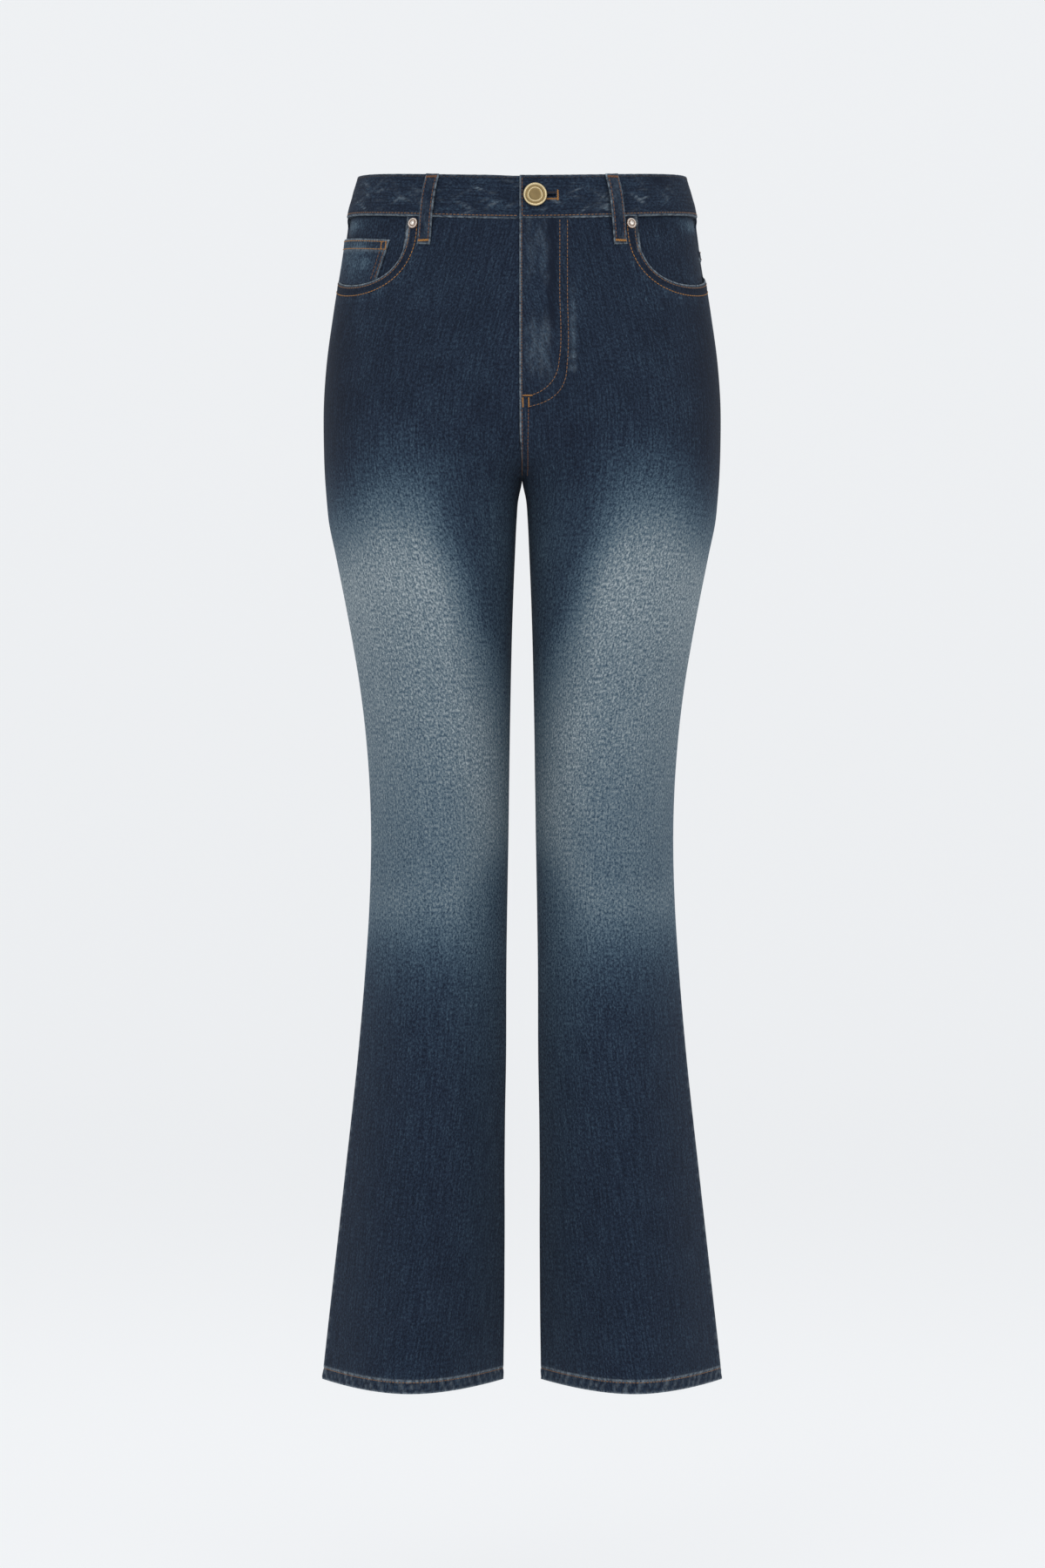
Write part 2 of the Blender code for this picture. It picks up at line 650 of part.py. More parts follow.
def cut_buttonhole(band, finish):
    """A slot through the outer end of the band only, from the button's shank outwards."""
    start = BUTTON_X - BUTTONHOLE_WIDTH / 2
    share = np.array([0, 0.05, 0.16, 0.4, 0.7, 0.92, 1.0])
    half = BUTTONHOLE_WIDTH / 2 * np.array([0.35, 0.8, 1.0, 0.8, 0.7, 0.6, 0.25])
    xs = start + (BUTTONHOLE_END_X - start) * share
    s = np.array([s_at_x("front", BUTTON_V, x) for x in xs])[:, None] * np.ones((1, 3))
    v = BUTTON_V + half[:, None] * np.array([[-1, 0, 1]])
    outside = skin(1, "front", s, v, BAND_LIFT + 3 * MM)
    middle = (BAND_LIFT - BAND_WALL - UNDERLAP_DEPTH) / 2
    inside = skin(1, "front", s, v, middle)
    cutter = wall("buttonhole_cutter", outside, inside, finish)
    cutter.hide_render = True
    cutter.display_type = "WIRE"
    cut = band.modifiers.new("buttonhole", "BOOLEAN")
    cut.operation = "DIFFERENCE"
    cut.object = cutter


def belt_loop(name, side, face, s_top, s_foot, finish):
    """A folded strip sewn down below the band and at its top edge, standing a little off
    the band between."""
    rest = BAND_LIFT + SEAM_GAP
    path = (
        (-LOOP_TAIL, SEAM_GAP),
        (-LOOP_TAIL + 5 * MM, SEAM_GAP),
        (-LOOP_TAIL + 11 * MM, 1.0 * MM),
        (-4 * MM, rest + 0.9 * MM),
        (8 * MM, rest + 1.8 * MM),
        (18 * MM, rest + 2.1 * MM),
        (28 * MM, rest + 1.4 * MM),
        (33 * MM, rest + 0.2 * MM),
        (BAND_HEIGHT - 0.2 * MM, rest),
    )
    v, lift = np.array(path).T
    share = (v - v[0]) / (v[-1] - v[0])
    middle = s_foot + (s_top - s_foot) * share
    across = np.linspace(-0.5, 0.5, 4)[None, :] * LOOP_WIDTH
    step = fraction(face, middle, v, 1.0)[:, None]
    s = middle[:, None] + across * step
    v, lift = (np.broadcast_to(a[:, None], s.shape) for a in (v, lift))
    return wall(name, skin(side, face, s, v, lift + LOOP_WALL), skin(side, face, s, v, lift), finish)


def front_axis(side, x, v):
    """A point on the front at x and v, and the direction straight out of the cloth there."""
    s = s_at_x("front", v, x)
    base = skin(side, "front", s, v, 0.0).reshape(3)
    return base, (skin(side, "front", s, v, 1.0).reshape(3) - base)


def waist_button(name, finish):
    """A shank button: a cap with a raised rim and a ring on its face, and a post that
    passes through the buttonhole to the end of the band below."""
    base, axis = front_axis(1, BUTTON_X, BUTTON_V)
    foot = -UNDERLAP_DEPTH + 2 * SEAM_GAP
    back = BAND_LIFT + 1.2 * MM
    r = BUTTON_RADIUS
    profile = (
        (0, foot),
        (SHANK_RADIUS, foot),
        (SHANK_RADIUS, back),
        (r - 1.2 * MM, back),
        (r, back + 0.9 * MM),
        (r - 0.3 * MM, back + 2.2 * MM),
        (r - 1.0 * MM, back + 2.6 * MM),
        (r - 1.6 * MM, back + 2.2 * MM),
        (r - 2.2 * MM, back + 1.9 * MM),
        (4.6 * MM, back + 2.3 * MM),
        (4.0 * MM, back + 2.7 * MM),
        (3.4 * MM, back + 2.4 * MM),
        (0, back + 2.5 * MM),
    )
    return turned(name, profile, 32, base, axis, finish)


def rivet(name, side, finish):
    """A rivet's cap: a shallow dome with a nub, on the front beside the pocket's mouth."""
    base, axis = front_axis(side, RIVET_X, RIVET_V)
    r, foot = RIVET_RADIUS, SEAM_GAP
    profile = (
        (0, foot),
        (r - 0.3 * MM, foot),
        (r, foot + 0.4 * MM),
        (r - 0.5 * MM, foot + 1.1 * MM),
        (r - 1.6 * MM, foot + 1.5 * MM),
        (2.0 * MM, foot + 1.3 * MM),
        (1.7 * MM, foot + 1.9 * MM),
        (1.0 * MM, foot + 2.2 * MM),
        (0, foot + 2.25 * MM),
    )
    return turned(name, profile, 24, base, axis, finish)


def belt_loops(finish):
    """Two loops on the front, leaning in at the top, two on the back and one at its centre."""
    front_top = s_at_x("front", BAND_HEIGHT - 1 * MM, 73.8 * MM)
    front_foot = s_at_x("front", -LOOP_TAIL, 81.5 * MM)
    for side, word in ((1, "left"), (-1, "right")):
        belt_loop(f"belt_loop_front_{word}", side, "front", front_top, front_foot, finish)
        belt_loop(f"belt_loop_back_{word}", side, "back", 0.36, 0.35, finish)
    belt_loop("belt_loop_centre_back", 1, "back", 1.0, 1.0, finish)


def jeans():
    denim = material("denim", INDIGO, 0.85)
    dark = material("denim_dark", INDIGO_DARK, 0.85)
    brass = material("antique_brass", BRASS, 0.35, 1.0)
    plating = material("rivet_metal", RIVET_PLATING, 0.35, 1.0)
    zip_tape = material("zip", ZIP_METAL, 0.5)
    for side, word in ((1, "left"), (-1, "right")):
        front_panel(f"front_{word}", side, denim)
        back_panel(f"back_{word}", side, denim)
        yoke(f"yoke_{word}", side, denim)
        pocket_facing(f"pocket_facing_{word}", side, dark)
        back_pocket(f"back_pocket_{word}", side, denim)
        rivet(f"rivet_{word}", side, plating)
    coin_pocket("coin_pocket", -1, denim)
    fly_zip("fly_zip", zip_tape)
    waistband("waistband", denim)
    belt_loops(denim)
    waist_button("waist_button", brass)


def clear_scene():
    for obj in list(bpy.data.objects):
        bpy.data.objects.remove(obj, do_unlink=True)


clear_scene()
jeans()
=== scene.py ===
"""The looks of the bootcut jeans: denim shells in place of the frame's walls, with their
stitching, creases, wash with painted shade and light in it, and wear, the metal, a pale round stage
and soft light.

Metres, in the frame's own axes: +Z up, the front faces -Y, the wearer's left is at +X. A place
on the cloth is (side, face, s, v): side is 1 on the wearer's left and -1 on the right, face is
"front" or "back", s runs from the outseam at 0 to the inseam or centre seam at 1, and v is the
height above the waist seam. A lift moves it outwards from the skin that all the walls follow.
"""

import math

import bpy
import mathutils
import numpy as np
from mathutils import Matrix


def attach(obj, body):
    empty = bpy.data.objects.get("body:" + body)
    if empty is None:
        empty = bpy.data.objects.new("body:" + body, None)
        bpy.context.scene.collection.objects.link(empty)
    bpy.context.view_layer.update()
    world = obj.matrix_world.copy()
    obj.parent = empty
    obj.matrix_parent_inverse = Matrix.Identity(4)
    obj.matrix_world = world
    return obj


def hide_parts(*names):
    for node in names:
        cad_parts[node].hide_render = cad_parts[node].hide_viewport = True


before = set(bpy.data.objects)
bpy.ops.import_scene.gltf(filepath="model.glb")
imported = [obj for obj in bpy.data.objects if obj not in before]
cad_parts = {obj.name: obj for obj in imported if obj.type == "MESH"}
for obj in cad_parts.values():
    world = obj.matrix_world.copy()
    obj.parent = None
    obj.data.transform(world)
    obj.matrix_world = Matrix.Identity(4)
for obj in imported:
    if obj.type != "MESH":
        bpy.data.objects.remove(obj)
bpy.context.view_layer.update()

MM = 0.001

# ---------------------------------------------------------------- sizes that the frame has too
DENIM = 1.2 * MM
HEM_Z = -1002.5 * MM
HEM_DEPTH = 11.0 * MM
HEM_WALL = 2.6 * MM
CROTCH_Z = -241.0 * MM
CROTCH_Y = -20.0 * MM
CROTCH_RISE = {"front": 70.0 * MM, "back": 125.0 * MM}
CROSSING = {"front": 220.0 * MM, "back": 300.0 * MM}
CROSSING_POWER = 1.6
INSEAM_STRAIGHTENS = 250.0 * MM
BAND_WALL = 2.4 * MM
BAND_LIFT = 1.0 * MM
BAND_HEIGHT = 36.8 * MM
BAND_HEIGHT_LOST_AT_SIDE = 2.5 * MM
BAND_TOP_FRONT = 7.0 * MM
SLANT_FADES = 160.0 * MM
FLY_LAP = 2.2 * MM
FLY_UNDERLAP = 4.0 * MM
FLY_RAISE = 1.8 * MM
FLY_BOTTOM_Z = -182.0 * MM
FLY_WIDTH = 41.0 * MM
SEAM_WIDTH = 12.0 * MM
SEAM_PLY = 0.5 * MM
BAND_UNDERLAP = 34.0 * MM
UNDERLAP_DEPTH = 1.7 * MM
BAND_DIVE = 32.0 * MM
BAND_FOOT_ROW = 2.4 * MM
YOKE_REST = 0.25 * MM
YOKE_RAISE = 0.7 * MM
HEM_STITCH = 9.2 * MM
ZIP_WIDTH = 26.0 * MM
MOUTH_CURVE_MM = ((0.0, -51.9), (4.5, -51.9), (125.1, -89.8), (98.1, -0.3))
BELOW_MOUTH_Z = -122.0 * MM
FACING_REACH = 114.0 * MM
FACING_FOOT = 71.0 * MM
FACING_SUNK = 1.9 * MM
COIN_START = 3.0 * MM
COIN_TOP = -20.5 * MM
COIN_TOP_SLOPE = 4.0 * MM
COIN_INNER_X = 111.0 * MM
COIN_INNER_SLANT = 4.5 * MM
YOKE_AT_SIDE = 34.0 * MM
YOKE_AT_CENTRE = 68.0 * MM
BACK_POCKET_WIDTH = 132.0 * MM
BACK_POCKET_FOOT_WIDTH = 114.0 * MM
BACK_POCKET_HEIGHT = 138.0 * MM
BACK_POCKET_POINT = 20.0 * MM
BACK_POCKET_FROM_CENTRE = 92.0 * MM
BACK_POCKET_BELOW_YOKE = 18.0 * MM
BACK_POCKET_HEM = 22.0 * MM
BACK_POCKET_HEM_RAISE = 0.7 * MM
PATCH_GAP = 0.9 * MM
LOOP_WIDTH = 11.4 * MM
LOOP_WALL = 2.0 * MM
LOOP_TAIL = 24.0 * MM
BUTTON_RADIUS = 10.0 * MM
BUTTON_X = 10.6 * MM
BUTTON_V = 19.4 * MM
BUTTONHOLE_END_X = 28.0 * MM
RIVET_RADIUS = 4.7 * MM
RIVET_X = 90.6 * MM
RIVET_V = -5.9 * MM
ROUNDNESS = 0.565
PINCH_FLATTENS = 1.4
OUTSEAM_SHARE = 0.35

SECTION_COLUMNS = ("z", "outer", "inner", "front", "back", "front_x", "back_x", "pinch")
SECTIONS_MM = (
    (50, 129.5, 0.0, 86.0, 88.0, 0, 0, 0),
    (16, 139.5, 0.0, 90.5, 93.5, 0, 0, 0),
    (-13, 147.6, 0.0, 94.5, 99.0, 0, 0, 0),
    (-50, 153.2, 0.0, 98.5, 107.0, 6, 10, 0),
    (-95, 160.4, 0.0, 102.0, 118.0, 18, 35, 0),
    (-140, 166.6, 0.0, 103.5, 126.0, 40, 62, 0),
    (-175, 169.0, 0.0, 103.8, 128.0, 60, 76, 0),
    (-205, 169.0, 0.0, 103.5, 124.5, 73, 82, 0),
    (-241, 167.5, 0.0, 102.0, 114.0, 82, 86, 0),
    (-258, 166.2, 3.4, 101.0, 109.1, 83, 86, 0.02),
    (-273, 164.7, 4.5, 99.8, 105.4, 83, 85, 0.03),
    (-302, 158.8, 5.9, 96.9, 99.4, 81, 83, 0.04),
    (-362, 147.0, 8.2, 89.5, 90.5, 77, 78, 0.07),
    (-421, 137.2, 9.6, 81.5, 83.0, 73, 74, 0.09),
    (-480, 131.1, 10.6, 73.5, 76.5, 71, 71, 0.10),
    (-540, 128.8, 11.4, 66.8, 71.5, 70, 70, 0.11),
    (-599, 130.2, 12.4, 62.8, 69.0, 71, 71, 0.12),
    (-658, 134.0, 13.2, 62.0, 68.8, 74, 74, 0.14),
    (-717, 139.0, 13.6, 63.8, 70.0, 77, 77, 0.16),
    (-836, 151.8, 14.8, 73.0, 75.0, 84, 84, 0.18),
    (-954, 165.0, 15.5, 83.5, 81.5, 91, 91, 0.21),
    (-1001, 170.2, 15.6, 88.0, 84.0, 93, 93, 0.22),
)

# ---------------------------------------------------------------- the shells' fineness and edges
LATTICE_Z = np.arange(-1004, 53) * MM
LATTICE_S = np.linspace(0, 1, 401)
CURVE_STEPS = 120
FRONT_CELL = 2.6 * MM
BACK_CELL = 4.0 * MM
FRONT_COLUMNS = 76
BACK_COLUMNS = 52
YOKE_COLUMNS = 60
EDGE_COLUMNS = np.array([0, 0.35, 0.9, 1.7, 3.0]) * MM
HEM_ROWS_MM = (0, 0.3, 0.8, 1.5, 2.4, 3.4, 4.5, 5.6, 6.7, 7.7, 8.6, 9.4, 10.2, 11, 12.2)
EDGE_TRIM = 0.05 * MM
SEAM_TRIM = 0.1 * MM
EDGE_ROUNDING = 0.55 * MM
OUTSEAM_TOP_Z = -60.0 * MM
ROUGH_FACE_LENGTH = 200.0 * MM

# Distances, in metres, that keep one piece's grain from going on into another's
OTHER_SIDE_UV = 1.7
OTHER_FACE_UV = 3.1
BACK_POCKET_UV = 5.0
BAND_UV = 9.0
LOOP_UV = 11.0


# ================================================================ the skin
def smoothstep(x):
    x = np.clip(x, 0.0, 1.0)
    return x * x * (3.0 - 2.0 * x)


def smooth_path(at, xs, ys):
    """The ys at places along the xs, on a cubic through points that may stand unevenly apart."""
    slopes = np.gradient(ys, xs)
    i = np.clip(np.searchsorted(xs, at) - 1, 0, len(xs) - 2)
    step = xs[i + 1] - xs[i]
    t = np.clip((at - xs[i]) / step, 0, 1)
    low = ys[i] * (1 + 2 * t) * (1 - t) ** 2 + slopes[i] * step * t * (1 - t) ** 2
    return low + ys[i + 1] * t * t * (3 - 2 * t) + slopes[i + 1] * step * t * t * (t - 1)


def through_rows(rows, column, z):
    """A column of a table whose rows start with a height in mm, at heights z in metres."""
    table = np.array(rows[::-1], float)
    return smooth_path(z, table[:, 0] * MM, table[:, column])


def column(name, z):
    """A column of the section table at heights z, in metres except for the pinch."""
    scale = 1 if name == "pinch" else MM
    return scale * through_rows(SECTIONS_MM, SECTION_COLUMNS.index(name), z)


def bezier(points, t):
    """A cubic curve for each row, through points[0] and points[3], at each of the row's t."""
    t = t[..., None]
    weights = ((1 - t) ** 3, 3 * t * (1 - t) ** 2, 3 * t * t * (1 - t), t**3)
    return sum(w * p[:, None, :] for w, p in zip(weights, points))


def end_at_middle(points):
    """The t at which each row's curve comes to the middle of the garment, or else 1."""
    low, high = np.zeros(len(points[0])), np.ones(len(points[0]))
    for _ in range(30):
        half = (low + high) / 2
        short = bezier(points, half[:, None])[:, 0, 0] > 0
        low, high = np.where(short, half, low), np.where(short, high, half)
    return high


def section_curves(face, z):
    """The face's curve at each height, from the outseam to its inner edge, as 2-D points."""
    sign = -1.0 if face == "front" else 1.0
    above = np.maximum(z - CROTCH_Z, 0) / CROTCH_RISE[face]
    outer = column("outer", z)
    inner = column("inner", z) - CROSSING[face] * above**CROSSING_POWER
    crest_x = np.maximum(column(face + "_x", z), 0)
    crest_y = sign * column(face, z)
    pinch = column("pinch", z)
    roundness = ROUNDNESS * (1 - PINCH_FLATTENS * pinch)
    middle_y = (column("back", z) - column("front", z)) / 2
    side_y = OUTSEAM_SHARE * 2 * middle_y
    inner_y = CROTCH_Y + (middle_y - CROTCH_Y) * smoothstep((CROTCH_Z - z) / INSEAM_STRAIGHTENS)
    out, across = outer - crest_x, crest_x - inner

    def point(x, y):
        return np.stack([x, y], -1)

    first = (
        point(outer, side_y),
        point(outer - pinch * out, side_y + roundness * (crest_y - side_y)),
        point(crest_x + roundness * out, crest_y),
        point(crest_x, crest_y),
    )
    second = (
        point(crest_x, crest_y),
        point(crest_x - roundness * across, crest_y),
        point(inner + pinch * across, inner_y + roundness * (crest_y - inner_y)),
        point(inner, inner_y),
    )
    t = np.broadcast_to(np.linspace(0, 1, CURVE_STEPS + 1), (len(z), CURVE_STEPS + 1))
    to_crest = bezier(first, t)
    to_seam = bezier(second, t * end_at_middle(second)[:, None])
    return np.concatenate([to_crest, to_seam[:, 1:]], axis=1)


def lattice(face):
    """The skin on an even grid of heights and fractions s, and its length at each height."""
    curves = section_curves(face, LATTICE_Z)
    steps = np.linalg.norm(np.diff(curves, axis=1), axis=-1)
    run = np.concatenate([np.zeros((len(curves), 1)), np.cumsum(steps, axis=1)], axis=1)
    grid = np.empty((len(curves), len(LATTICE_S), 2))
    for row, curve in enumerate(curves):
        for axis in (0, 1):
            grid[row, :, axis] = np.interp(LATTICE_S * run[row, -1], run[row], curve[:, axis])
    return grid, run[:, -1]


LATTICES = {face: lattice(face) for face in ("front", "back")}


def on_section(face, s, z):
    """Points of the skin at fractions s and heights z. Past s = 1 they go on round the other
    side of the garment."""
    grid = LATTICES[face][0]
    beyond = s > 1
    s = np.where(beyond, 2 - s, s)
    j = np.clip(s, 0, 1) * (len(LATTICE_S) - 1)
    i = np.clip((z - LATTICE_Z[0]) / MM, 0, len(LATTICE_Z) - 1)
    j0 = np.minimum(j.astype(int), len(LATTICE_S) - 2)
    i0 = np.minimum(i.astype(int), len(LATTICE_Z) - 2)
    fi, fj = (i - i0)[..., None], (j - j0)[..., None]
    low = grid[i0, j0] * (1 - fj) + grid[i0, j0 + 1] * fj
    high = grid[i0 + 1, j0] * (1 - fj) + grid[i0 + 1, j0 + 1] * fj
    xy = low * (1 - fi) + high * fi
    x = np.where(beyond, -xy[..., 0], xy[..., 0])
    return np.stack([x, xy[..., 1], z], -1)


def face_length(face, z):
    return np.interp(z, LATTICE_Z, LATTICES[face][1])


def band_top_z(face, s):
    """Height of the waistband's top edge: low at the front, high at the back."""
    depth = np.sin(np.clip(np.where(s > 1, 2 - s, s), 0, 1) * math.pi / 2)
    if face == "front":
        u = 1 - depth
        return BAND_TOP_FRONT + 13.5 * MM * u - 2.0 * MM * u**4
    return BAND_TOP_FRONT + 11.5 * MM + 5.5 * MM * depth + 10.0 * MM * depth**2


def band_height(s):
    depth = np.sin(np.clip(np.where(s > 1, 2 - s, s), 0, 1) * math.pi / 2)
    return BAND_HEIGHT - BAND_HEIGHT_LOST_AT_SIDE * (1 - depth**2)


def waist_seam_z(face, s):
    return band_top_z(face, s) - band_height(s)


SEAM_AT_SIDE_Z = float(waist_seam_z("front", np.array(0.0)))


def height(face, s, v):
    """The height z of a place v above the waist seam. The seam's slant fades down the hips."""
    seam = waist_seam_z(face, s)
    on_band = seam + v * band_height(s) / BAND_HEIGHT
    slant = smoothstep(1 + v / SLANT_FADES)
    below = v + SEAM_AT_SIDE_Z + slant * (seam - SEAM_AT_SIDE_Z)
    return np.where(v > 0, on_band, below)


def v_of(z):
    """v for a height z on the legs and the lower hips, where the slant has faded."""
    return z - SEAM_AT_SIDE_Z


def skin_and_normal(side, face, s, v):
    s, v = np.broadcast_arrays(np.asarray(s, float), np.asarray(v, float))
    ds, dv = 4e-3, 1.0 * MM
    ahead = np.where(s > 1, s + ds, np.minimum(s + ds, 1))
    behind = np.where(s > 1, np.maximum(s - ds, 1), np.maximum(s - ds, 0))
    place = on_section(face, s, height(face, s, v))
    along = on_section(face, ahead, height(face, ahead, v)) - on_section(
        face, behind, height(face, behind, v)
    )
    up = on_section(face, s, height(face, s, v + dv)) - on_section(face, s, height(face, s, v - dv))
    normal = np.cross(up, along) if face == "front" else np.cross(along, up)
    normal /= np.linalg.norm(normal, axis=-1)[..., None]
    mirror = np.array([side, 1, 1])
    return place * mirror, normal * mirror


def skin(side, face, s, v, lift=0.0):
    place, normal = skin_and_normal(side, face, s, v)
    return place + normal * np.broadcast_to(lift, place.shape[:-1])[..., None]


def s_at_x(face, v, x):
    """The fraction s at which the skin, at v, lies x from the middle of the garment."""
    s = np.linspace(0, 1, 600)
    xs = skin(1, face, s, np.full_like(s, v))[:, 0]
    return float(np.interp(x, xs[::-1], s[::-1]))


def length_at(face, s, v):
    return face_length(face, height(face, np.asarray(s, float), np.asarray(v, float)))


def s_from_outseam(face, distance, v):
    """s at a distance along the cloth from the outseam. A rough s says how low the seam is."""
    guess = np.asarray(distance, float) / ROUGH_FACE_LENGTH
    return distance / length_at(face, np.clip(guess, 0, 1), v)


# ================================================================ materials
class Nodes:
    """A short way to write a material's nodes. A number or a socket may stand for any input."""

    def __init__(self, name):
        self.material = bpy.data.materials.new(name)
        self.material.use_nodes = True
        self.tree = self.material.node_tree
        self.shader = self.tree.nodes["Principled BSDF"]

    def set(self, node, inputs):
        for key, value in inputs.items():
            if isinstance(value, bpy.types.NodeSocket):
                self.tree.links.new(value, node.inputs[key])
            else:
                node.inputs[key].default_value = value

    def add(self, kind, inputs, **settings):
        node = self.tree.nodes.new("ShaderNode" + kind)
        for key, value in settings.items():
            setattr(node, key, value)
        self.set(node, inputs)
        return node

    def math(self, operation, a, b=0.0, c=0.0):
        return self.add("Math", {0: a, 1: b, 2: c}, operation=operation).outputs[0]

    def value(self, name):
        return self.add("Attribute", {}, attribute_name=name).outputs["Fac"]

    def cloth_place(self, across, along):
        """The distance along the cloth, scaled by the given lengths across and along."""
        place = self.add("UVMap", {}, uv_map="cloth").outputs[0]
        return self.scaled(place, (1 / across, 1 / along, 1))

    def object_place(self, scale):
        place = self.add("TexCoord", {}).outputs["Object"]
        return self.scaled(place, (scale, scale, scale))

    def scaled(self, vector, scale):
        return self.add("Mapping", {"Vector": vector, "Scale": scale}).outputs[0]

    def noise(self, place, detail=2.0, roughness=0.5, distortion=0.0):
        inputs = {"Vector": place, "Scale": 1.0, "Detail": detail, "Roughness": roughness}
        return self.add("TexNoise", {**inputs, "Distortion": distortion}).outputs["Fac"]

    def wave(self, place, distortion):
        inputs = {"Vector": place, "Scale": 1.0, "Distortion": distortion, "Detail": 1.0}
        return self.add("TexWave", inputs, bands_direction="DIAGONAL").outputs["Fac"]

    def between(self, value, low, high):
        """value taken from low..high to 0..1, smoothly."""
        inputs = {"Value": value, "From Min": low, "From Max": high}
        return self.add("MapRange", inputs, interpolation_type="SMOOTHSTEP").outputs["Result"]

    def ramp(self, value, stops):
        node = self.add("ValToRGB", {0: value})
        band = node.color_ramp
        while len(band.elements) < len(stops):
            band.elements.new(0.5)
        for element, (place, colour) in zip(band.elements, stops):
            element.position = place
            element.color = (*colour, 1)
        return node.outputs["Color"]

    def mix(self, factor, a, b):
        """A colour between two, each a socket or (red, green, blue)."""
        a, b = ((*colour, 1) if isinstance(colour, tuple) else colour for colour in (a, b))
        return self.add("Mix", {0: factor, 6: a, 7: b}, data_type="RGBA").outputs[2]

    def bump(self, height, depth, strength):
        node = self.add("Bump", {"Strength": strength, "Distance": depth, "Height": height})
        self.set(self.shader, {"Normal": node.outputs[0]})

    def finish(self, colour, roughness, metallic=0.0, sheen=0.0, specular=0.5):
        inputs = {
            "Base Color": colour,
            "Roughness": roughness,
            "Metallic": metallic,
            "Sheen Weight": sheen,
            "Sheen Roughness": 0.6,
            "Specular IOR Level": specular,
        }
        self.set(self.shader, inputs)
        return self.material


def srgb(red, green, blue):
    """A linear colour from one in display bytes."""
    parts = np.array([red, green, blue]) / 255
    linear = np.where(parts <= 0.04045, parts / 12.92, ((parts + 0.055) / 1.055) ** 2.4)
    return tuple(float(part) for part in linear)


# The denim's colours, from unwashed indigo to its palest threads, and where the wash has them
INDIGO_MID = srgb(56, 74, 90)
WASH_STOPS = (
    (0.0, srgb(20, 28, 42)),
    (0.15, srgb(34, 46, 63)),
    (0.3125, INDIGO_MID),
    (0.475, srgb(79, 98, 112)),
    (0.6375, srgb(103, 119, 129)),
    (0.80, srgb(124, 136, 142)),
    (1.0, srgb(165, 174, 178)),
)
WORN_THREAD = srgb(150, 163, 172)
WEFT = srgb(112, 122, 134)
TWILL = (2.6 * MM, 1.5 * MM)


def denim(name, tone=0.0):
    """Denim's outer side. tone lowers or raises the whole wash."""
    n = Nodes(name)
    # The fade attribute holds the wash together with the painted shade and light of the legs.
    fade_and_painted_light, wear = n.value("fade_and_painted_light"), n.value("wear")
    grain = n.noise(n.cloth_place(1.6 * MM, 2.6 * MM), 3.0, 0.8)
    streak = n.noise(n.cloth_place(1.5 * MM, 30 * MM), 1.0, 0.5)
    cloud = n.noise(n.cloth_place(30 * MM, 42 * MM), 3.0, 0.55)
    slub = n.noise(n.cloth_place(1.2 * MM, 5.0 * MM), 1.0, 0.5, 0.3)
    scuff = n.noise(n.cloth_place(2.2 * MM, 3.4 * MM), 4.0, 0.7, 0.6)
    amount = n.math("MULTIPLY_ADD", fade_and_painted_light, 0.48, 0.22)
    wash_and_painted_light = n.math("MULTIPLY_ADD", fade_and_painted_light, 0.67, 0.080 + tone)
    speckle = n.math("SUBTRACT", n.between(grain, 0.34, 0.66), 0.5)
    wash_and_painted_light = n.math("MULTIPLY_ADD", speckle, amount, wash_and_painted_light)
    lines = n.math("SUBTRACT", n.between(streak, 0.3, 0.7), 0.5)
    wash_and_painted_light = n.math("MULTIPLY_ADD", lines, 0.10, wash_and_painted_light)
    wash_and_painted_light = n.math("MULTIPLY_ADD", n.math("SUBTRACT", cloud, 0.5), 0.08, wash_and_painted_light)
    wash_and_painted_light = n.math("MULTIPLY_ADD", n.between(slub, 0.64, 0.80), 0.14, wash_and_painted_light)
    worn = n.math("MULTIPLY", wear, n.between(scuff, 0.30, 0.62))
    colour = n.mix(n.math("MINIMUM", worn, 0.85), n.ramp(wash_and_painted_light, WASH_STOPS), WORN_THREAD)
    twill = n.wave(n.cloth_place(*TWILL), 1.2)
    relief = n.math("MULTIPLY_ADD", grain, 0.8, n.math("MULTIPLY", twill, 0.5))
    n.bump(relief, 0.28 * MM, 0.7)
    return n.finish(colour, 0.9, sheen=0.015, specular=0.12)


def denim_inside(name):
    """The inner side, where the pale weft shows."""
    n = Nodes(name)
    grain = n.noise(n.cloth_place(1.1 * MM, 1.5 * MM), 2.0, 0.6)
    twill = n.wave(n.cloth_place(*TWILL), 1.5)
    share = n.math("MULTIPLY_ADD", twill, 0.5, n.math("MULTIPLY", grain, 0.5))
    n.bump(grain, 0.25 * MM, 0.7)
    return n.finish(n.mix(share, INDIGO_MID, WEFT), 0.9, sheen=0.015, specular=0.12)


def thread(name, colour, dark):
    """Twisted thread, finely mottled."""
    n = Nodes(name)
    twist = n.noise(n.scaled(n.object_place(1), (900, 900, 1400)), 1.0, 0.5)
    wobble = n.noise(n.object_place(60), 2.0, 0.5)
    share = n.math("MULTIPLY_ADD", twist, 0.6, n.math("MULTIPLY", wobble, 0.5))
    n.bump(twist, 0.12 * MM, 0.6)
    return n.finish(n.mix(share, dark, colour), 0.7, sheen=0.03, specular=0.3)


def patinated(name, bright, dark, roughness, scale):
    """Cast metal, dull in its hollows and bright where it is raised."""
    n = Nodes(name)
    place = n.object_place(scale)
    cloud = n.noise(place, 4.0, 0.6)
    fine = n.noise(n.scaled(place, (6, 6, 6)), 2.0, 0.6)
    share = n.math("MULTIPLY", n.value("raised"), n.math("MULTIPLY_ADD", cloud, 0.24, 0.80))
    n.bump(fine, 0.05 * MM, 0.4)
    return n.finish(n.mix(share, dark, bright), roughness, metallic=1.0)


def plain(name, colour, roughness, metallic=0.0):
    n = Nodes(name)
    speck = n.noise(n.object_place(700), 2.0, 0.5)
    darker = tuple(0.7 * part for part in colour)
    return n.finish(n.mix(speck, darker, colour), roughness, metallic)


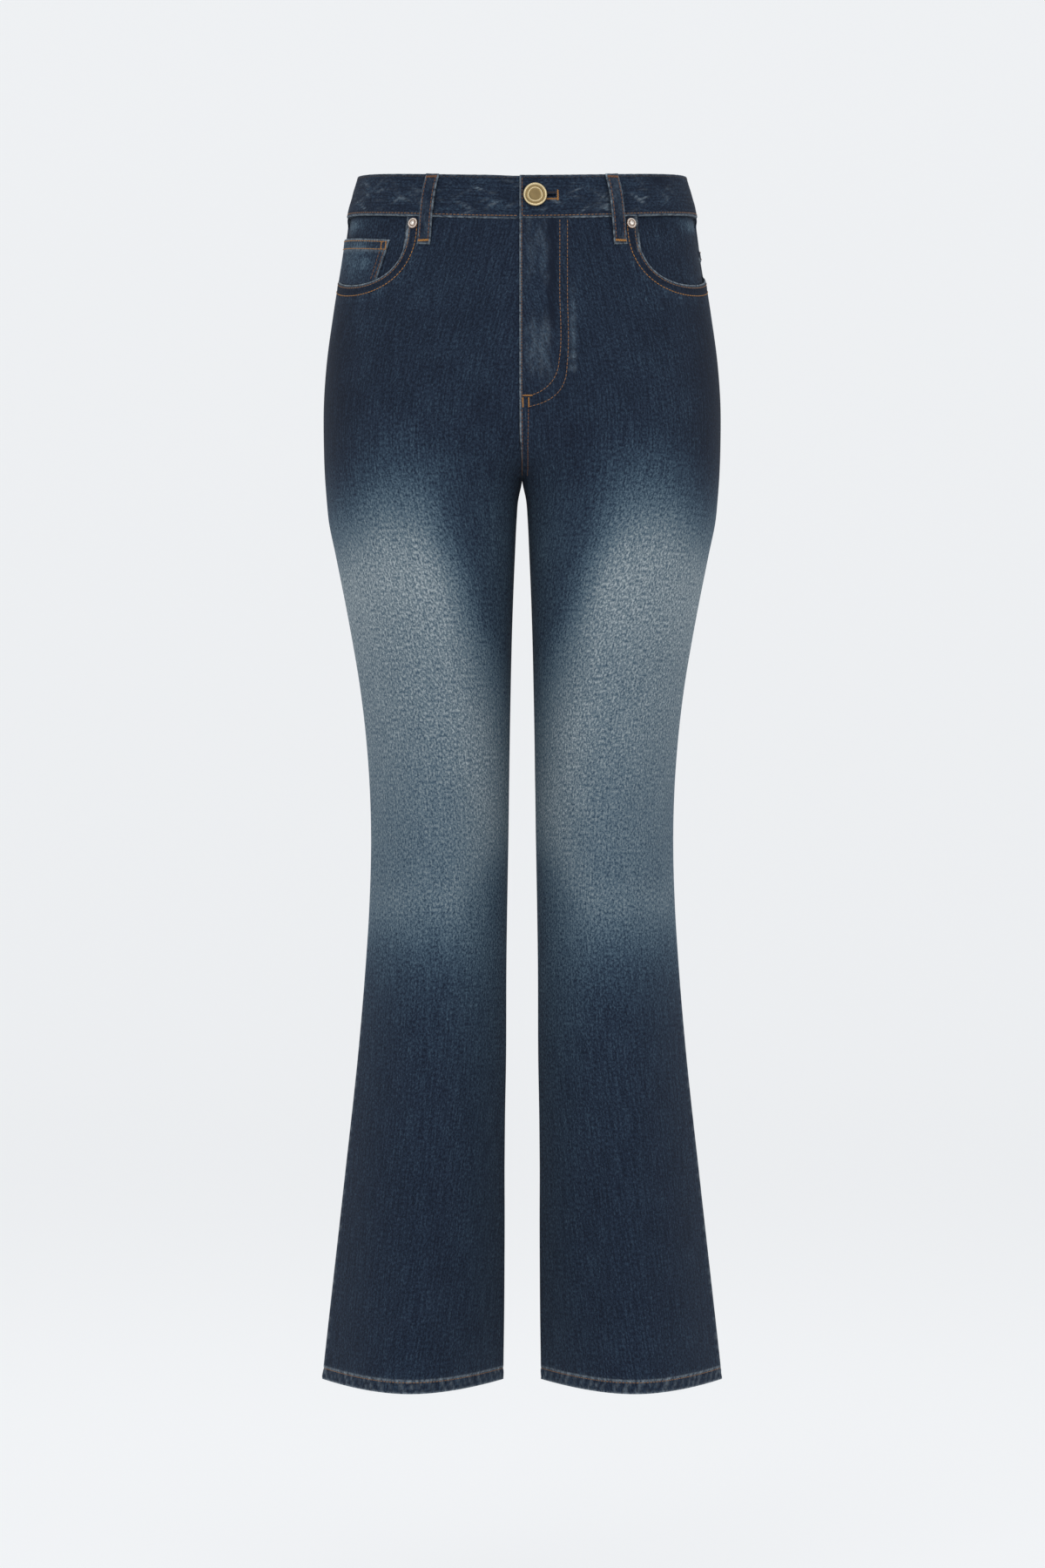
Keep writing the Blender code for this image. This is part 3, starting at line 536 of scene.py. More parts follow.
# Looks: the materials of a piece's outer and inner side, and its slot
DENIM_IN = denim_inside("denim_inner_side")
WASHED = (denim("denim_washed"), DENIM_IN, "denim")
UNWASHED = (denim("denim_unwashed", -0.05), DENIM_IN, "denim_dark")
TAPE_FINISH = plain("zip_tape", (0.020, 0.024, 0.036), 0.9)
TAPE = (TAPE_FINISH, TAPE_FINISH, "zip")
THREADS = {
    "tan": thread("thread_tan", (0.33, 0.170, 0.075), (0.12, 0.058, 0.030)),
    "orange": thread("thread_orange", (0.54, 0.255, 0.060), (0.24, 0.10, 0.025)),
    "dark": thread("thread_dark", (0.060, 0.040, 0.034), (0.025, 0.020, 0.022)),
    "brown": thread("thread_brown", (0.250, 0.110, 0.050), (0.090, 0.042, 0.026)),
}
BRASS = patinated("antique_brass", (0.74, 0.61, 0.37), (0.30, 0.215, 0.100), 0.36, 300)
SILVER = patinated("worn_plating", (0.86, 0.80, 0.73), (0.28, 0.19, 0.14), 0.28, 400)
ZIP_METAL = plain("zip_teeth", (0.42, 0.34, 0.20), 0.35, 1.0)


# ================================================================ meshes
def grid_quads(index):
    a, b, c, d = index[:-1, :-1], index[:-1, 1:], index[1:, 1:], index[1:, :-1]
    return np.stack([a, b, c, d], -1).reshape(-1, 4)


def tube_faces(rings, sides, base=0):
    """The faces of a closed tube whose rings stand one after the other."""
    index = base + np.arange(rings * sides).reshape(rings, sides)
    looped = np.concatenate([index, index[:, :1]], axis=1)
    faces = grid_quads(looped)[:, ::-1].tolist()
    return faces + [index[0].tolist(), index[-1, ::-1].tolist()]


def finished(name, vertices, faces, materials, material_of=None, values=None, uv=None):
    """A smooth mesh object that rides on the frame's body, with its numbers for the shader."""
    mesh = bpy.data.meshes.new(name)
    mesh.from_pydata(np.asarray(vertices).tolist(), [], faces)
    for made in materials:
        mesh.materials.append(made)
    if material_of is not None:
        mesh.polygons.foreach_set("material_index", np.asarray(material_of, np.int32))
    for key, numbers in (values or {}).items():
        layer = mesh.attributes.new(key, "FLOAT", "POINT")
        layer.data.foreach_set("value", np.asarray(numbers, np.float32).ravel())
    if uv is not None:
        corners = np.empty(len(mesh.loops), np.int32)
        mesh.loops.foreach_get("vertex_index", corners)
        layer = mesh.uv_layers.new(name="cloth")
        layer.data.foreach_set("uv", np.asarray(uv, np.float32)[corners].ravel())
    mesh.shade_smooth()
    mesh.update()
    obj = bpy.data.objects.new(name, mesh)
    bpy.context.scene.collection.objects.link(obj)
    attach(obj, "root")
    return obj


def shell_faces(shape, keep):
    """The faces of a shell between two grids of the shape, and how many are on each side.
    keep says which cells there are. Each open edge is closed by a wall."""
    near = np.arange(shape[0] * shape[1]).reshape(shape)
    quads = grid_quads(near)
    if keep is not None:
        quads = quads[keep.ravel()]
    starts, ends = quads.ravel(), np.roll(quads, -1, axis=1).ravel()
    is_open = ~np.isin(starts * near.size + ends, ends * near.size + starts)
    p, q = starts[is_open], ends[is_open]
    walls = np.stack([q, p, p + near.size, q + near.size], -1)
    return np.concatenate([quads, quads[:, ::-1] + near.size, walls]), len(quads)


def shell(node, outside, inside, uv, fade_and_painted_light=0.0, wear=0.0, keep=None, look=None, ending="_cloth"):
    """A thin shell of cloth between two grids of points, in place of the frame's node. uv is
    the place on the cloth in metres, fade its wash with painted shade and light in it, and wear its
    abrasion."""
    shape = outside.shape[:2]
    faces, count = shell_faces(shape, keep)
    row, col = shape[0] // 2, shape[1] // 2
    here = outside[row, col]
    turn = np.cross(outside[row, col - 1] - here, outside[row - 1, col] - here)
    if np.dot(turn, here - inside[row, col]) < 0:
        faces = faces[:, ::-1]
    material_of = np.repeat([0, 1, 0], [count, count, len(faces) - 2 * count])
    values = {
        key: np.concatenate([np.broadcast_to(numbers, shape).ravel()] * 2)
        for key, numbers in (("fade_and_painted_light", fade_and_painted_light), ("wear", wear))
    }
    vertices = np.concatenate([outside.reshape(-1, 3), inside.reshape(-1, 3)])
    uv = np.tile(uv.reshape(-1, 2), (2, 1))
    *materials, slot = look or WASHED
    faces = faces.tolist()
    obj = finished(node + ending, vertices, faces, materials, material_of, values, uv)
    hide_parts(node)


def cloth(node, side, face, s, v, lift, thickness, fade_and_painted_light, wear, look=None):
    """A shell of cloth on the skin. lift is that of its outer side."""
    outside = skin(side, face, s, v, lift)
    inside = skin(side, face, s, v, np.asarray(lift) - thickness)
    far_side = OTHER_SIDE_UV * (side < 0) + OTHER_FACE_UV * (face == "back")
    uv = np.stack([s * length_at(face, s, v) + far_side, v], -1)
    shell(node, outside, inside, uv, fade_and_painted_light, wear, look=look)


def rounded(distance):
    """How much lower the cloth lies at a distance from a folded or cut edge."""
    return EDGE_ROUNDING * (1 - np.sqrt(1 - (1 - np.clip(distance / (1.4 * MM), 0, 1)) ** 2))


def wander(along, wavelength, seed):
    """An uneven wave from -1 to 1 along a seam, for the puckers that its thread pulls."""
    turn = 2 * math.pi * np.asarray(along) / wavelength
    phase = np.random.default_rng(seed).uniform(0, 2 * math.pi, 3)
    drift = 1.1 * np.sin(turn / 5.3 + phase[0]) + 0.7 * np.sin(turn / 2.7 + phase[1])
    return np.sin(turn + drift + phase[2]) * (0.7 + 0.3 * np.sin(turn / 3.9 + phase[1]))


# ================================================================ the wash with its painted shade and light, and the creases
# How washed out the thighs and knees are: the level at each height, and where it fades out
# towards the inseam, x mm from the middle over a width of so many mm
WASH_COLUMNS = ("z", "level", "edge", "softness")
WASH = (
    (-150, 0.00, 68, 60),
    (-190, 0.04, 68, 60),
    (-215, 0.12, 67, 60),
    (-238, 0.27, 66, 60),
    (-266, 0.55, 67, 60),
    (-295, 0.86, 64, 58),
    (-324, 0.97, 54, 50),
    (-353, 0.94, 47, 48),
    (-396, 0.86, 33, 66),
    (-439, 0.83, 19, 72),
    (-483, 0.76, 8, 74),
    (-526, 0.68, 0, 70),
    (-569, 0.63, 22, 54),
    (-598, 0.66, 34, 70),
    (-627, 0.42, 30, 70),
    (-656, 0.22, 20, 70),
    (-685, 0.12, 10, 70),
    (-742, 0.05, 0, 60),
    (-820, 0.02, 0, 60),
    (-1010, 0.02, 0, 60),
)

# Creases: (face, side, x, z, length, angle, width, depth), in mm and degrees as seen
# from the front. side is 1 for the wearer's left, -1 for the right and 0 for both. The angle
# opens from level, and a trough's depth is negative.
CREASES = (
    ("front", 1, 6, -57, 16, 4, 2.4, -0.6),
    ("front", 1, 6, -82, 18, -6, 2.6, -0.7),
    ("front", 1, 5, -94, 14, 3, 2.2, -0.5),
    ("front", 1, 8, -118, 18, 8, 3.0, -0.5),
    ("front", -1, 14, -75, 26, -14, 5, -0.5),
    ("front", 1, 34, -214, 46, 32, 7, -1.1),
    ("front", 1, 44, -232, 60, 24, 8, -1.3),
    ("front", -1, 32, -210, 42, -36, 7, -1.0),
    ("front", -1, 45, -229, 64, -27, 8, -1.4),
    ("front", 1, 66, -262, 52, 14, 9, -0.8),
    ("front", -1, 62, -258, 58, -11, 9, -0.9),
    ("front", 1, 50, -470, 52, 8, 11, -1.0),
    ("front", 1, 78, -505, 60, -12, 12, -1.1),
    ("front", -1, 60, -484, 56, 10, 12, -1.1),
    ("front", -1, 92, -520, 48, -15, 11, -0.9),
    ("front", 1, 60, -610, 64, -9, 12, -0.9),
    ("front", -1, 84, -628, 58, 11, 12, -1.0),
    ("front", 0, 66, -860, 190, 86, 15, -1.5),
    ("front", 1, 108, -905, 170, 97, 16, -1.4),
    ("front", -1, 104, -890, 160, 98, 15, -1.3),
    ("back", 1, 60, -228, 84, -16, 8, -2.5),
    ("back", 1, 74, -246, 92, -10, 9, -2.8),
    ("back", -1, 62, -232, 80, 18, 8, -2.6),
    ("back", -1, 78, -251, 90, 9, 9, -2.5),
    ("back", 1, 118, -262, 54, 12, 9, -1.6),
    ("back", -1, 121, -258, 50, -14, 9, -1.7),
    ("back", 1, 54, -498, 66, 12, 10, -2.3),
    ("back", 1, 72, -520, 78, -7, 11, -2.8),
    ("back", 1, 60, -548, 70, 9, 11, -2.2),
    ("back", -1, 58, -506, 70, -10, 10, -2.5),
    ("back", -1, 76, -529, 74, 8, 11, -2.6),
    ("back", -1, 64, -556, 62, -11, 10, -2.0),
    ("back", 0, 58, -700, 130, 80, 14, -1.9),
    ("back", 1, 96, -880, 190, 95, 16, -2.3),
    ("back", -1, 92, -872, 180, 94, 16, -2.2),
    ("back", 0, 46, -905, 150, 86, 14, -1.9),
)


def wash_and_painted_light(face, x, z):
    """How washed out the cloth is at x and z, 0 where it is darkest. It holds painted shade on the
    outer hips and painted light on the inner legs.
    """
    x = np.abs(x)

    def of(name, at):
        return through_rows(WASH, WASH_COLUMNS.index(name), at)

    lag = 18 * MM * smoothstep((x - 110 * MM) / (45 * MM)) * smoothstep((z + 450 * MM) / (100 * MM))
    edge, softness = of("edge", z) * MM, of("softness", z) * MM
    thigh = of("level", z + lag) * smoothstep((x - edge) / softness + 0.5)
    # Painted shade: the outer sides of the hips are made darker, where the cloth turns away from
    # the light.
    outer = -0.08 * smoothstep((x - 134 * MM) / (22 * MM)) * smoothstep((z + 340 * MM) / (110 * MM))
    knee = smoothstep((z + 760 * MM) / (200 * MM))
    foot = smoothstep((-850 * MM - z) / (150 * MM))
    # Painted light: the inner legs are made paler from the crotch down, against the shade that
    # falls between the legs.
    inner = smoothstep((75 * MM - x) / (60 * MM)) * smoothstep((-200 * MM - z) / (90 * MM))
    inner = inner * (0.12 + 0.12 * knee - 0.05 * foot)
    front = np.maximum(thigh, 0) + outer + inner
    if face == "front":
        return front
    # The back takes the front's wash more weakly, its painted shade and light included, and adds a
    # paler seat.
    seat = np.exp(-(((x - 88 * MM) / (52 * MM)) ** 2) - ((z + 205 * MM) / (58 * MM)) ** 2)
    return 0.82 * front + 0.46 * seat


def creases(side, face, x, z):
    """How far the creases move the cloth outwards at x and z."""
    moved = np.zeros(np.shape(x))
    for crease_face, crease_side, at_x, at_z, length, angle, width, depth in CREASES:
        if crease_face != face or crease_side == -side:
            continue
        turn = math.radians(angle)
        dx, dz = np.abs(x) - at_x * MM, z - at_z * MM
        along = (dx * math.cos(turn) + dz * math.sin(turn)) / (length * MM / 2)
        across = (dz * math.cos(turn) - dx * math.sin(turn)) / (width * MM) + 0.45 * along**2
        trough = np.exp(-(across**2)) - 0.4 * np.exp(-((across - 1.9) ** 2) / 1.6)
        moved += depth * MM * trough * np.exp(-(along**4))
    return moved


def fly_lift(s, v):
    """How far the layers of the fly raise the left front, near its edge."""
    z = height("front", s, v)
    beside = (1 - np.asarray(s)) * face_length("front", z)
    width = SEAM_WIDTH + (FLY_WIDTH - SEAM_WIDTH) * smoothstep((z - FLY_BOTTOM_Z) / (12 * MM))
    raised = smoothstep((z - (CROTCH_Z + 6 * MM)) / (26 * MM))
    return FLY_RAISE * raised * smoothstep((width + 4 * MM - beside) / (12 * MM))


def side_dip(s, v):
    """How far the back lies lower at the outseam, beside the facing in the pocket's mouth."""
    arc = s * length_at("back", s, v)
    beside = smoothstep((v + 52 * MM) / (4 * MM)) * smoothstep((-1 * MM - v) / (10 * MM))
    return 2.6 * MM * beside * smoothstep(1 - arc / (16 * MM)) ** 1.5


def hem_rope(side, face, arc, z):
    """The slanted waves of the hem, from -1 to 1."""
    return wander(arc + 0.7 * (z - HEM_Z), 9.5 * MM, 3 + 2 * side + (face == "back"))


def surface(side, face, s, v):
    """The lift of a panel's outer side: its layers, its creases and the roping of its hem."""
    x, z = seen_at(side, face, s, v)
    lift = creases(side, face, x, z)
    if face == "front" and side > 0:
        lift = lift + fly_lift(s, v)
    if face == "back":
        lift = lift - side_dip(s, v)
    above = z - HEM_Z
    rope = hem_rope(side, face, s * face_length(face, z), z)
    in_hem = smoothstep((HEM_DEPTH - above) / (3 * MM)) * smoothstep(above / (2 * MM))
    groove = near(above - HEM_STITCH, 1.1 * MM)
    return lift + 0.45 * MM * rope * in_hem - 0.35 * MM * groove


# ================================================================ the mouth of the front pocket
def mouth_line(inside=0.0, count=200):
    """(arc, v) along the mouth's edge, from the outseam up to the waist seam, moved into the
    cloth by inside. arc is the distance along the cloth from the outseam."""
    corners = np.array(MOUTH_CURVE_MM)[:, None, :] * MM
    points = bezier(corners, np.linspace(0, 1, count)[None, :])[0]
    along = np.gradient(points, axis=0)
    along /= np.linalg.norm(along, axis=1)[:, None]
    into_cloth = np.stack([along[:, 1], -along[:, 0]], -1)
    return (points + into_cloth * inside).T


def beside_mouth(arc, v):
    """How far a place on the front is from the mouth's edge, where it is at all near."""
    distance = np.ones(arc.shape)
    near_by = (arc < 140 * MM) & (v > -110 * MM)
    edge = mouth_line().T
    places = np.stack([arc[near_by], v[near_by]], -1)
    distance[near_by] = np.linalg.norm(places[:, None] - edge[None], axis=-1).min(axis=1)
    return distance


# ================================================================ rows, columns and wear
def close_at_ends(low, high, soft, middle):
    """Places from low to high: the middle ones, and beyond them those the soft distances inside
    each end."""
    return np.concatenate([low + soft, middle, high - soft[::-1]])


def across_row(start, end, count):
    """Distances from start to end along a row, close together at both ends."""
    middle = np.linspace(start + EDGE_COLUMNS[-1], end - EDGE_COLUMNS[-1], count)
    return close_at_ends(start, end, EDGE_COLUMNS[:-1], middle)


def leg_rows(cell):
    """v of the rows up a leg to BELOW_MOUTH_Z, close together in the hem."""
    hem = HEM_Z + np.array(HEM_ROWS_MM) * MM
    count = round((BELOW_MOUTH_Z - hem[-1]) / cell)
    return v_of(np.concatenate([hem, np.linspace(hem[-1], BELOW_MOUTH_Z, count + 1)[1:]]))


def run_along(points):
    """The distance along a line of points to each of them."""
    return np.concatenate([[0], np.cumsum(np.linalg.norm(np.diff(points, axis=0), axis=1))])


def seen_at(side, face, s, v):
    """x, towards the side, and z of places on the skin."""
    place = skin(side, face, s, v)
    return place[..., 0] * side, place[..., 2]


def near(distance, width):
    return np.exp(-((distance / width) ** 2))


def blotches(u, v, box, count, size, seed, lean=0.35):
    """Soft uneven patches, 0 to 1, scattered over a box (u0, v0, u1, v1) of the cloth. The box
    and the patches' size are in mm."""
    place = np.random.default_rng(seed)
    total = np.zeros(np.shape(u))
    for _ in range(count):
        at_u = place.uniform(box[0] * MM, box[2] * MM)
        at_v = place.uniform(box[1] * MM, box[3] * MM)
        wide = size[0] * MM * place.uniform(0.5, 1.4)
        high = size[1] * MM * place.uniform(0.5, 1.4)
        tilt = place.uniform(-lean, lean)
        strength = place.uniform(0.3, 1.0)
        du, dv = (u - at_u) / wide, (v - at_v - tilt * (u - at_u)) / high
        total = np.maximum(total, strength * np.exp(-(du**2) - dv**2))
    return total


def leg_wear(side, face, arc, v, z):
    """The worn rope of the hem, its fold, and the outseam."""
    rope = hem_rope(side, face, arc, z)
    above_row = z - HEM_Z - HEM_STITCH
    wear = 0.75 * near(above_row - 1.4 * MM, 0.9 * MM) * (0.65 + 0.35 * rope)
    wear = wear + 0.55 * near(z - HEM_Z, 1.0 * MM)
    wear = wear + 0.30 * np.maximum(rope, 0) * (z < HEM_Z + HEM_DEPTH)
    outseam = near(arc, 2.2 * MM) * (0.20 + 0.18 * wander(v, 17 * MM, 5))
    return wear + outseam * (z < OUTSEAM_TOP_Z)


def seam_ply(beside_centre):
    """How far the centre back seam's turned-in cloth raises the left back and yoke."""
    return SEAM_PLY * smoothstep((SEAM_WIDTH - beside_centre) / (3 * MM))


def hem_wall(z):
    return HEM_WALL + (DENIM - HEM_WALL) * smoothstep((z - HEM_Z - HEM_DEPTH) / (1.2 * MM))


# ================================================================ fronts
def centre_edge(side, z):
    """How far past the middle a front reaches at z. The left one laps over the right one."""
    lap = FLY_LAP * float(smoothstep((z - (CROTCH_Z + 5 * MM)) / (30 * MM)))
    if side > 0:
        return lap
    if z > FLY_BOTTOM_Z:
        return FLY_UNDERLAP
    return -lap


def front_top(side, arcs):
    """(s, v) of the front's top edge, along the mouth and then the waist seam, with a place for
    each of the arcs of the row below it."""
    edge_arc, edge_v = mouth_line()
    run = run_along(mouth_line().T)
    end = arcs[-1]
    mouth, seam = run[-1], end - edge_arc[-1]
    along = arcs + (mouth + seam - end) * smoothstep((arcs - 4 * MM) / (end - 50 * MM))
    corner = np.argmin(np.abs(along - mouth))
    along[corner] = mouth
    on_mouth = along <= mouth
    v = np.where(on_mouth, np.interp(along, run, edge_v), -SEAM_TRIM)
    s = s_from_outseam("front", np.interp(along, run, edge_arc), v)
    last_s = 1 + centre_edge(side, 0.0) / float(length_at("front", 1.0, 0.0))
    to_end = np.clip((along - mouth) / seam, 0, 1)
    return np.where(on_mouth, s, s[corner] + (last_s - s[corner]) * to_end), v


def front_grid(side):
    """(s, v) of the places on a front. Its rows are level up to BELOW_MOUTH_Z, and from there
    they turn by and by into its top edge."""
    s_grid, v_grid = [], []
    for v in leg_rows(FRONT_CELL):
        z = float(height("front", 1.0, v))
        past = centre_edge(side, z) if z > CROTCH_Z else -EDGE_TRIM
        arcs = across_row(EDGE_TRIM, float(face_length("front", z)) + past, FRONT_COLUMNS)
        s_grid.append(s_from_outseam("front", arcs, v))
        v_grid.append(np.full(len(arcs), v))
    top_s, top_v = front_top(side, arcs)
    base_s, base_v = s_grid[-1], v_grid[-1]
    shares = np.concatenate([np.linspace(0, 0.93, 34)[1:-1], [0.93, 0.962, 0.98, 0.992, 1.0]])
    for share in shares:
        s_grid.append(base_s + (top_s - base_s) * share)
        v_grid.append(base_v + (top_v - base_v) * share)
    return np.array(s_grid), np.array(v_grid)


def front_panel(node, side):
    s, v = front_grid(side)
    x, z = seen_at(side, "front", s, v)
    length = length_at("front", np.clip(s, 0, 1), v)
    arc = s * length
    to_mouth = beside_mouth(arc, v)
    laps = np.array([centre_edge(side, level) if level > CROTCH_Z else 0 for level in z[:, -1]])
    beside_centre = length + laps[:, None] - arc
    beside_outseam = np.where(z < OUTSEAM_TOP_Z, arc, 1.0)
    edge = np.minimum(np.minimum(beside_outseam, beside_centre), to_mouth)
    ridge = near(to_mouth - 6.0 * MM, 2.6 * MM) * wander(arc - v, 8 * MM, 11)
    lift = surface(side, "front", s, v) - rounded(edge) + 0.25 * MM * ridge
    between_rows = near(to_mouth - 5.8 * MM, 2.6 * MM)
    beside_rows = near(to_mouth - 13 * MM, 5 * MM) * (0.5 + 0.5 * wander(arc + v, 23 * MM, 12))
    hip = near(arc - 12 * MM, 18 * MM) * near(z + 102 * MM, 28 * MM)
    # The wash here holds painted shade on the outer hips and painted light on the inner legs.
    fade_and_painted_light = wash_and_painted_light("front", x, z) - 0.09 * between_rows + 0.13 * beside_rows + 0.15 * hip
    wear = leg_wear(side, "front", arc, v, z)
    wear = wear + near(to_mouth, 1.1 * MM) * (0.85 + 0.15 * wander(arc + v, 12 * MM, 13))
    pucker = near(arc - 3 * MM, 3 * MM) * np.maximum(wander(v, 11 * MM, 6), 0)
    wear = wear + 0.35 * pucker * smoothstep((-250 * MM - z) / (200 * MM))
    if side > 0:
        scratches = fly_scratches(x, z)
        wear = wear + fly_edge_wear(z, beside_centre) + 0.30 * scratches
        fade_and_painted_light = fade_and_painted_light + 0.36 * scratches - 0.16 * fly_smooth_zone(x, z)
    fade_and_painted_light = fade_and_painted_light + 0.06 * blotches(x, z, (0, -230, 150, -60), 18, (22, 14), 8 + side)
    cloth(node, side, "front", s, v, lift, hem_wall(z), fade_and_painted_light, wear)


def fly_edge_wear(z, beside_centre):
    uneven = 0.7 + 0.3 * wander(z, 7 * MM, 21)
    return near(beside_centre, 1.1 * MM) * uneven * (z > CROTCH_Z)


def fly_scratches(x, z):
    """Upright scratches on the fly, over the ends of the zip, and the worn ridge beside it."""
    top = blotches(x, z, (4, -80, 21, -32), 26, (1.7, 7), 23, 1.2)
    foot = blotches(x, z, (4, -158, 24, -110), 34, (1.8, 8), 24, 1.2)
    haze = blotches(x, z, (8, -152, 20, -120), 8, (7, 12), 25)
    streak = near(x - 16.5 * MM, 1.6 * MM) * near(z + 138 * MM, 18 * MM)
    ridge = near(x - 42 * MM, 2.2 * MM) * smoothstep((-70 * MM - z) / (60 * MM))
    ridge = ridge * smoothstep((z - FLY_BOTTOM_Z - 20 * MM) / (9 * MM))
    ridge = ridge * (0.6 + 0.4 * wander(z, 13 * MM, 22))
    scratched = np.maximum(np.maximum(0.6 * top, 0.8 * foot), streak)
    return 0.55 * scratched + 0.15 * haze + 0.7 * ridge


def fly_smooth_zone(x, z):
    """The dark strip beside the inner row, where the cloth is pressed flat."""
    across = smoothstep((x - 18 * MM) / (5 * MM)) * smoothstep((30 * MM - x) / (3 * MM))
    return across * smoothstep((z + 128 * MM) / (16 * MM))


def pocket_facing(node, side):
    arcs = np.linspace(EDGE_TRIM, FACING_REACH, 46)
    levels = np.linspace(-FACING_FOOT, -SEAM_TRIM, 34)
    arcs, v = np.meshgrid(arcs, levels)
    s = s_from_outseam("front", arcs, v)
    sunk = FACING_SUNK + 1.2 * MM * smoothstep(1 - arcs / (60 * MM))
    fade_and_painted_light = 0.05 + 0.10 * blotches(arcs, v, (0, -60, 90, 0), 9, (18, 10), 31)
    fade_and_painted_light = fade_and_painted_light + 0.42 * near(arcs - 26 * MM, 20 * MM) * near(v + 8 * MM, 6 * MM)
    wear = 0.25 * near(arcs, 2 * MM)
    cloth(node, side, "front", s, v, -sunk, DENIM, fade_and_painted_light, wear, UNWASHED)


def coin_top_v(share):
    return COIN_TOP - COIN_TOP_SLOPE * (share - 1) * 0.5


COIN_TOP_S = s_at_x("front", COIN_TOP, COIN_INNER_X)
COIN_REACH = COIN_TOP_S * float(length_at("front", COIN_TOP_S, COIN_TOP))


def coin_place(share, up):
    """(arc, v) at a share of the patch's width and of its height."""
    arc = COIN_START + (COIN_REACH - COIN_START + COIN_INNER_SLANT * (up - 1)) * share
    foot = np.interp(arc, *mouth_line()) + 0.4 * MM
    return arc, foot + (coin_top_v(share) - foot) * up


def coin_pocket(node):
    share = np.concatenate([np.linspace(0, 0.97, 34), [0.985, 0.994, 1.0]])[None, :]
    up = np.concatenate([np.linspace(0, 0.93, 22), [0.95, 0.97, 0.985, 0.994, 1.0]])[:, None]
    arcs, v = np.broadcast_arrays(*coin_place(share, up))
    s = s_from_outseam("front", arcs, v)
    beside = (1 - share) * COIN_REACH
    below = coin_top_v(share) - v
    hem = 0.25 * MM * smoothstep((9 * MM - below) / (2 * MM))
    lift = hem - 0.2 * MM - rounded(np.minimum(beside, below))
    fade_and_painted_light = 0.10 + 0.35 * blotches(arcs, v, (0, -54, 66, -22), 12, (12, 8), 33)
    wear = 0.75 * near(below, 1.1 * MM) + 0.45 * near(beside, 1.1 * MM)
    wear = wear + 0.3 * near(below - 9.6 * MM, 1.4 * MM)
    cloth(node, -1, "front", s, v, lift, DENIM, fade_and_painted_light, wear)


# ================================================================ backs
def yoke_v(s):
    return -(YOKE_AT_SIDE + (YOKE_AT_CENTRE - YOKE_AT_SIDE) * np.asarray(s))


def yoke_raise(above_seam):
    """How far the yoke's turned-in lower edge raises it."""
    return YOKE_RAISE * smoothstep((9 * MM - above_seam) / (2.5 * MM))


def back_panel(node, side):
    legs = leg_rows(BACK_CELL)
    base = legs[-1]
    hips = np.concatenate([np.linspace(0, 1, 22)[1:-1], [0.985, 1.0]])
    rows = []
    for level, share in [(level, 0.0) for level in legs] + [(base, share) for share in hips]:
        length = float(face_length("back", height("back", 1.0, level)))
        trim = EDGE_TRIM * (level < v_of(CROTCH_Z))
        s = np.minimum(across_row(EDGE_TRIM, length - trim, BACK_COLUMNS) / length, 1.0)
        rows.append((s, level + (yoke_v(s) - SEAM_TRIM - base) * share))
    s, v = np.array(rows).transpose(1, 0, 2)
    x, z = seen_at(side, "back", s, v)
    length = length_at("back", s, v)
    arc = s * length
    to_yoke = yoke_v(s) - v
    beside_centre = length - arc
    edge = np.minimum(np.minimum(arc, beside_centre), to_yoke)
    lift = surface(side, "back", s, v) - rounded(edge)
    if side > 0:
        lift = lift + seam_ply(beside_centre) * (z > CROTCH_Z)
    wear = leg_wear(side, "back", arc, v, z)
    wear = wear + 0.5 * near(beside_centre, 1.4 * MM) * (z > CROTCH_Z)
    wear = wear + 0.5 * near(to_yoke, 1.4 * MM)
    # The wash passed on here holds painted shade on the outer hips and painted light on the inner
    # legs.
    cloth(node, side, "back", s, v, lift, hem_wall(z), wash_and_painted_light("back", x, z), wear)


def yoke(node, side):
    length = float(length_at("back", 0.6, -30 * MM))
    s = np.minimum(across_row(EDGE_TRIM, length, YOKE_COLUMNS) / length, 1.0)
    up = np.concatenate([[0, 0.4, 0.9, 1.7], np.linspace(3, 100, 24)[:-1], [98.5, 99.3, 100]]) / 100
    s, up = np.meshgrid(s, up)
    v = yoke_v(s) * (1 - up) - SEAM_TRIM * up
    x, z = seen_at(side, "back", s, v)
    to_seam = v - yoke_v(s)
    arc = s * length
    beside_centre = length - arc
    raised = yoke_raise(to_seam) * smoothstep(arc / (12 * MM)) + YOKE_REST
    lift = raised - rounded(np.minimum(to_seam, arc)) - side_dip(s, v)
    if side > 0:
        lift = lift + seam_ply(beside_centre)
    wear = 0.7 * near(to_seam, 1.2 * MM) + 0.4 * near(beside_centre, 1.4 * MM)
    wear = wear + 0.25 * near(to_seam - 9.5 * MM, 1.5 * MM)
    # The wash here holds painted shade on the outer sides.
    cloth(node, side, "back", s, v, lift, DENIM, wash_and_painted_light("back", x, z) + 0.04, wear)


def back_pocket_place(across, down):
    """(s, v) on the back pocket: across from -1 to 1 and down from 0 to 1."""
    centre_z = height("back", 0.6, yoke_v(0.6) - BACK_POCKET_BELOW_YOKE)
    length = float(face_length("back", centre_z))
    half = (BACK_POCKET_WIDTH + (BACK_POCKET_FOOT_WIDTH - BACK_POCKET_WIDTH) * down) / 2
    depth = BACK_POCKET_HEIGHT * down - BACK_POCKET_POINT * np.abs(across) * down
    s = 1 - BACK_POCKET_FROM_CENTRE / length + across * half / length
    return s, yoke_v(s) - BACK_POCKET_BELOW_YOKE - depth


def back_pocket_hem(down):
    """1 in the hem of the back pocket's mouth and 0 below it."""
    return smoothstep((BACK_POCKET_HEM - down * BACK_POCKET_HEIGHT) / (2 * MM))


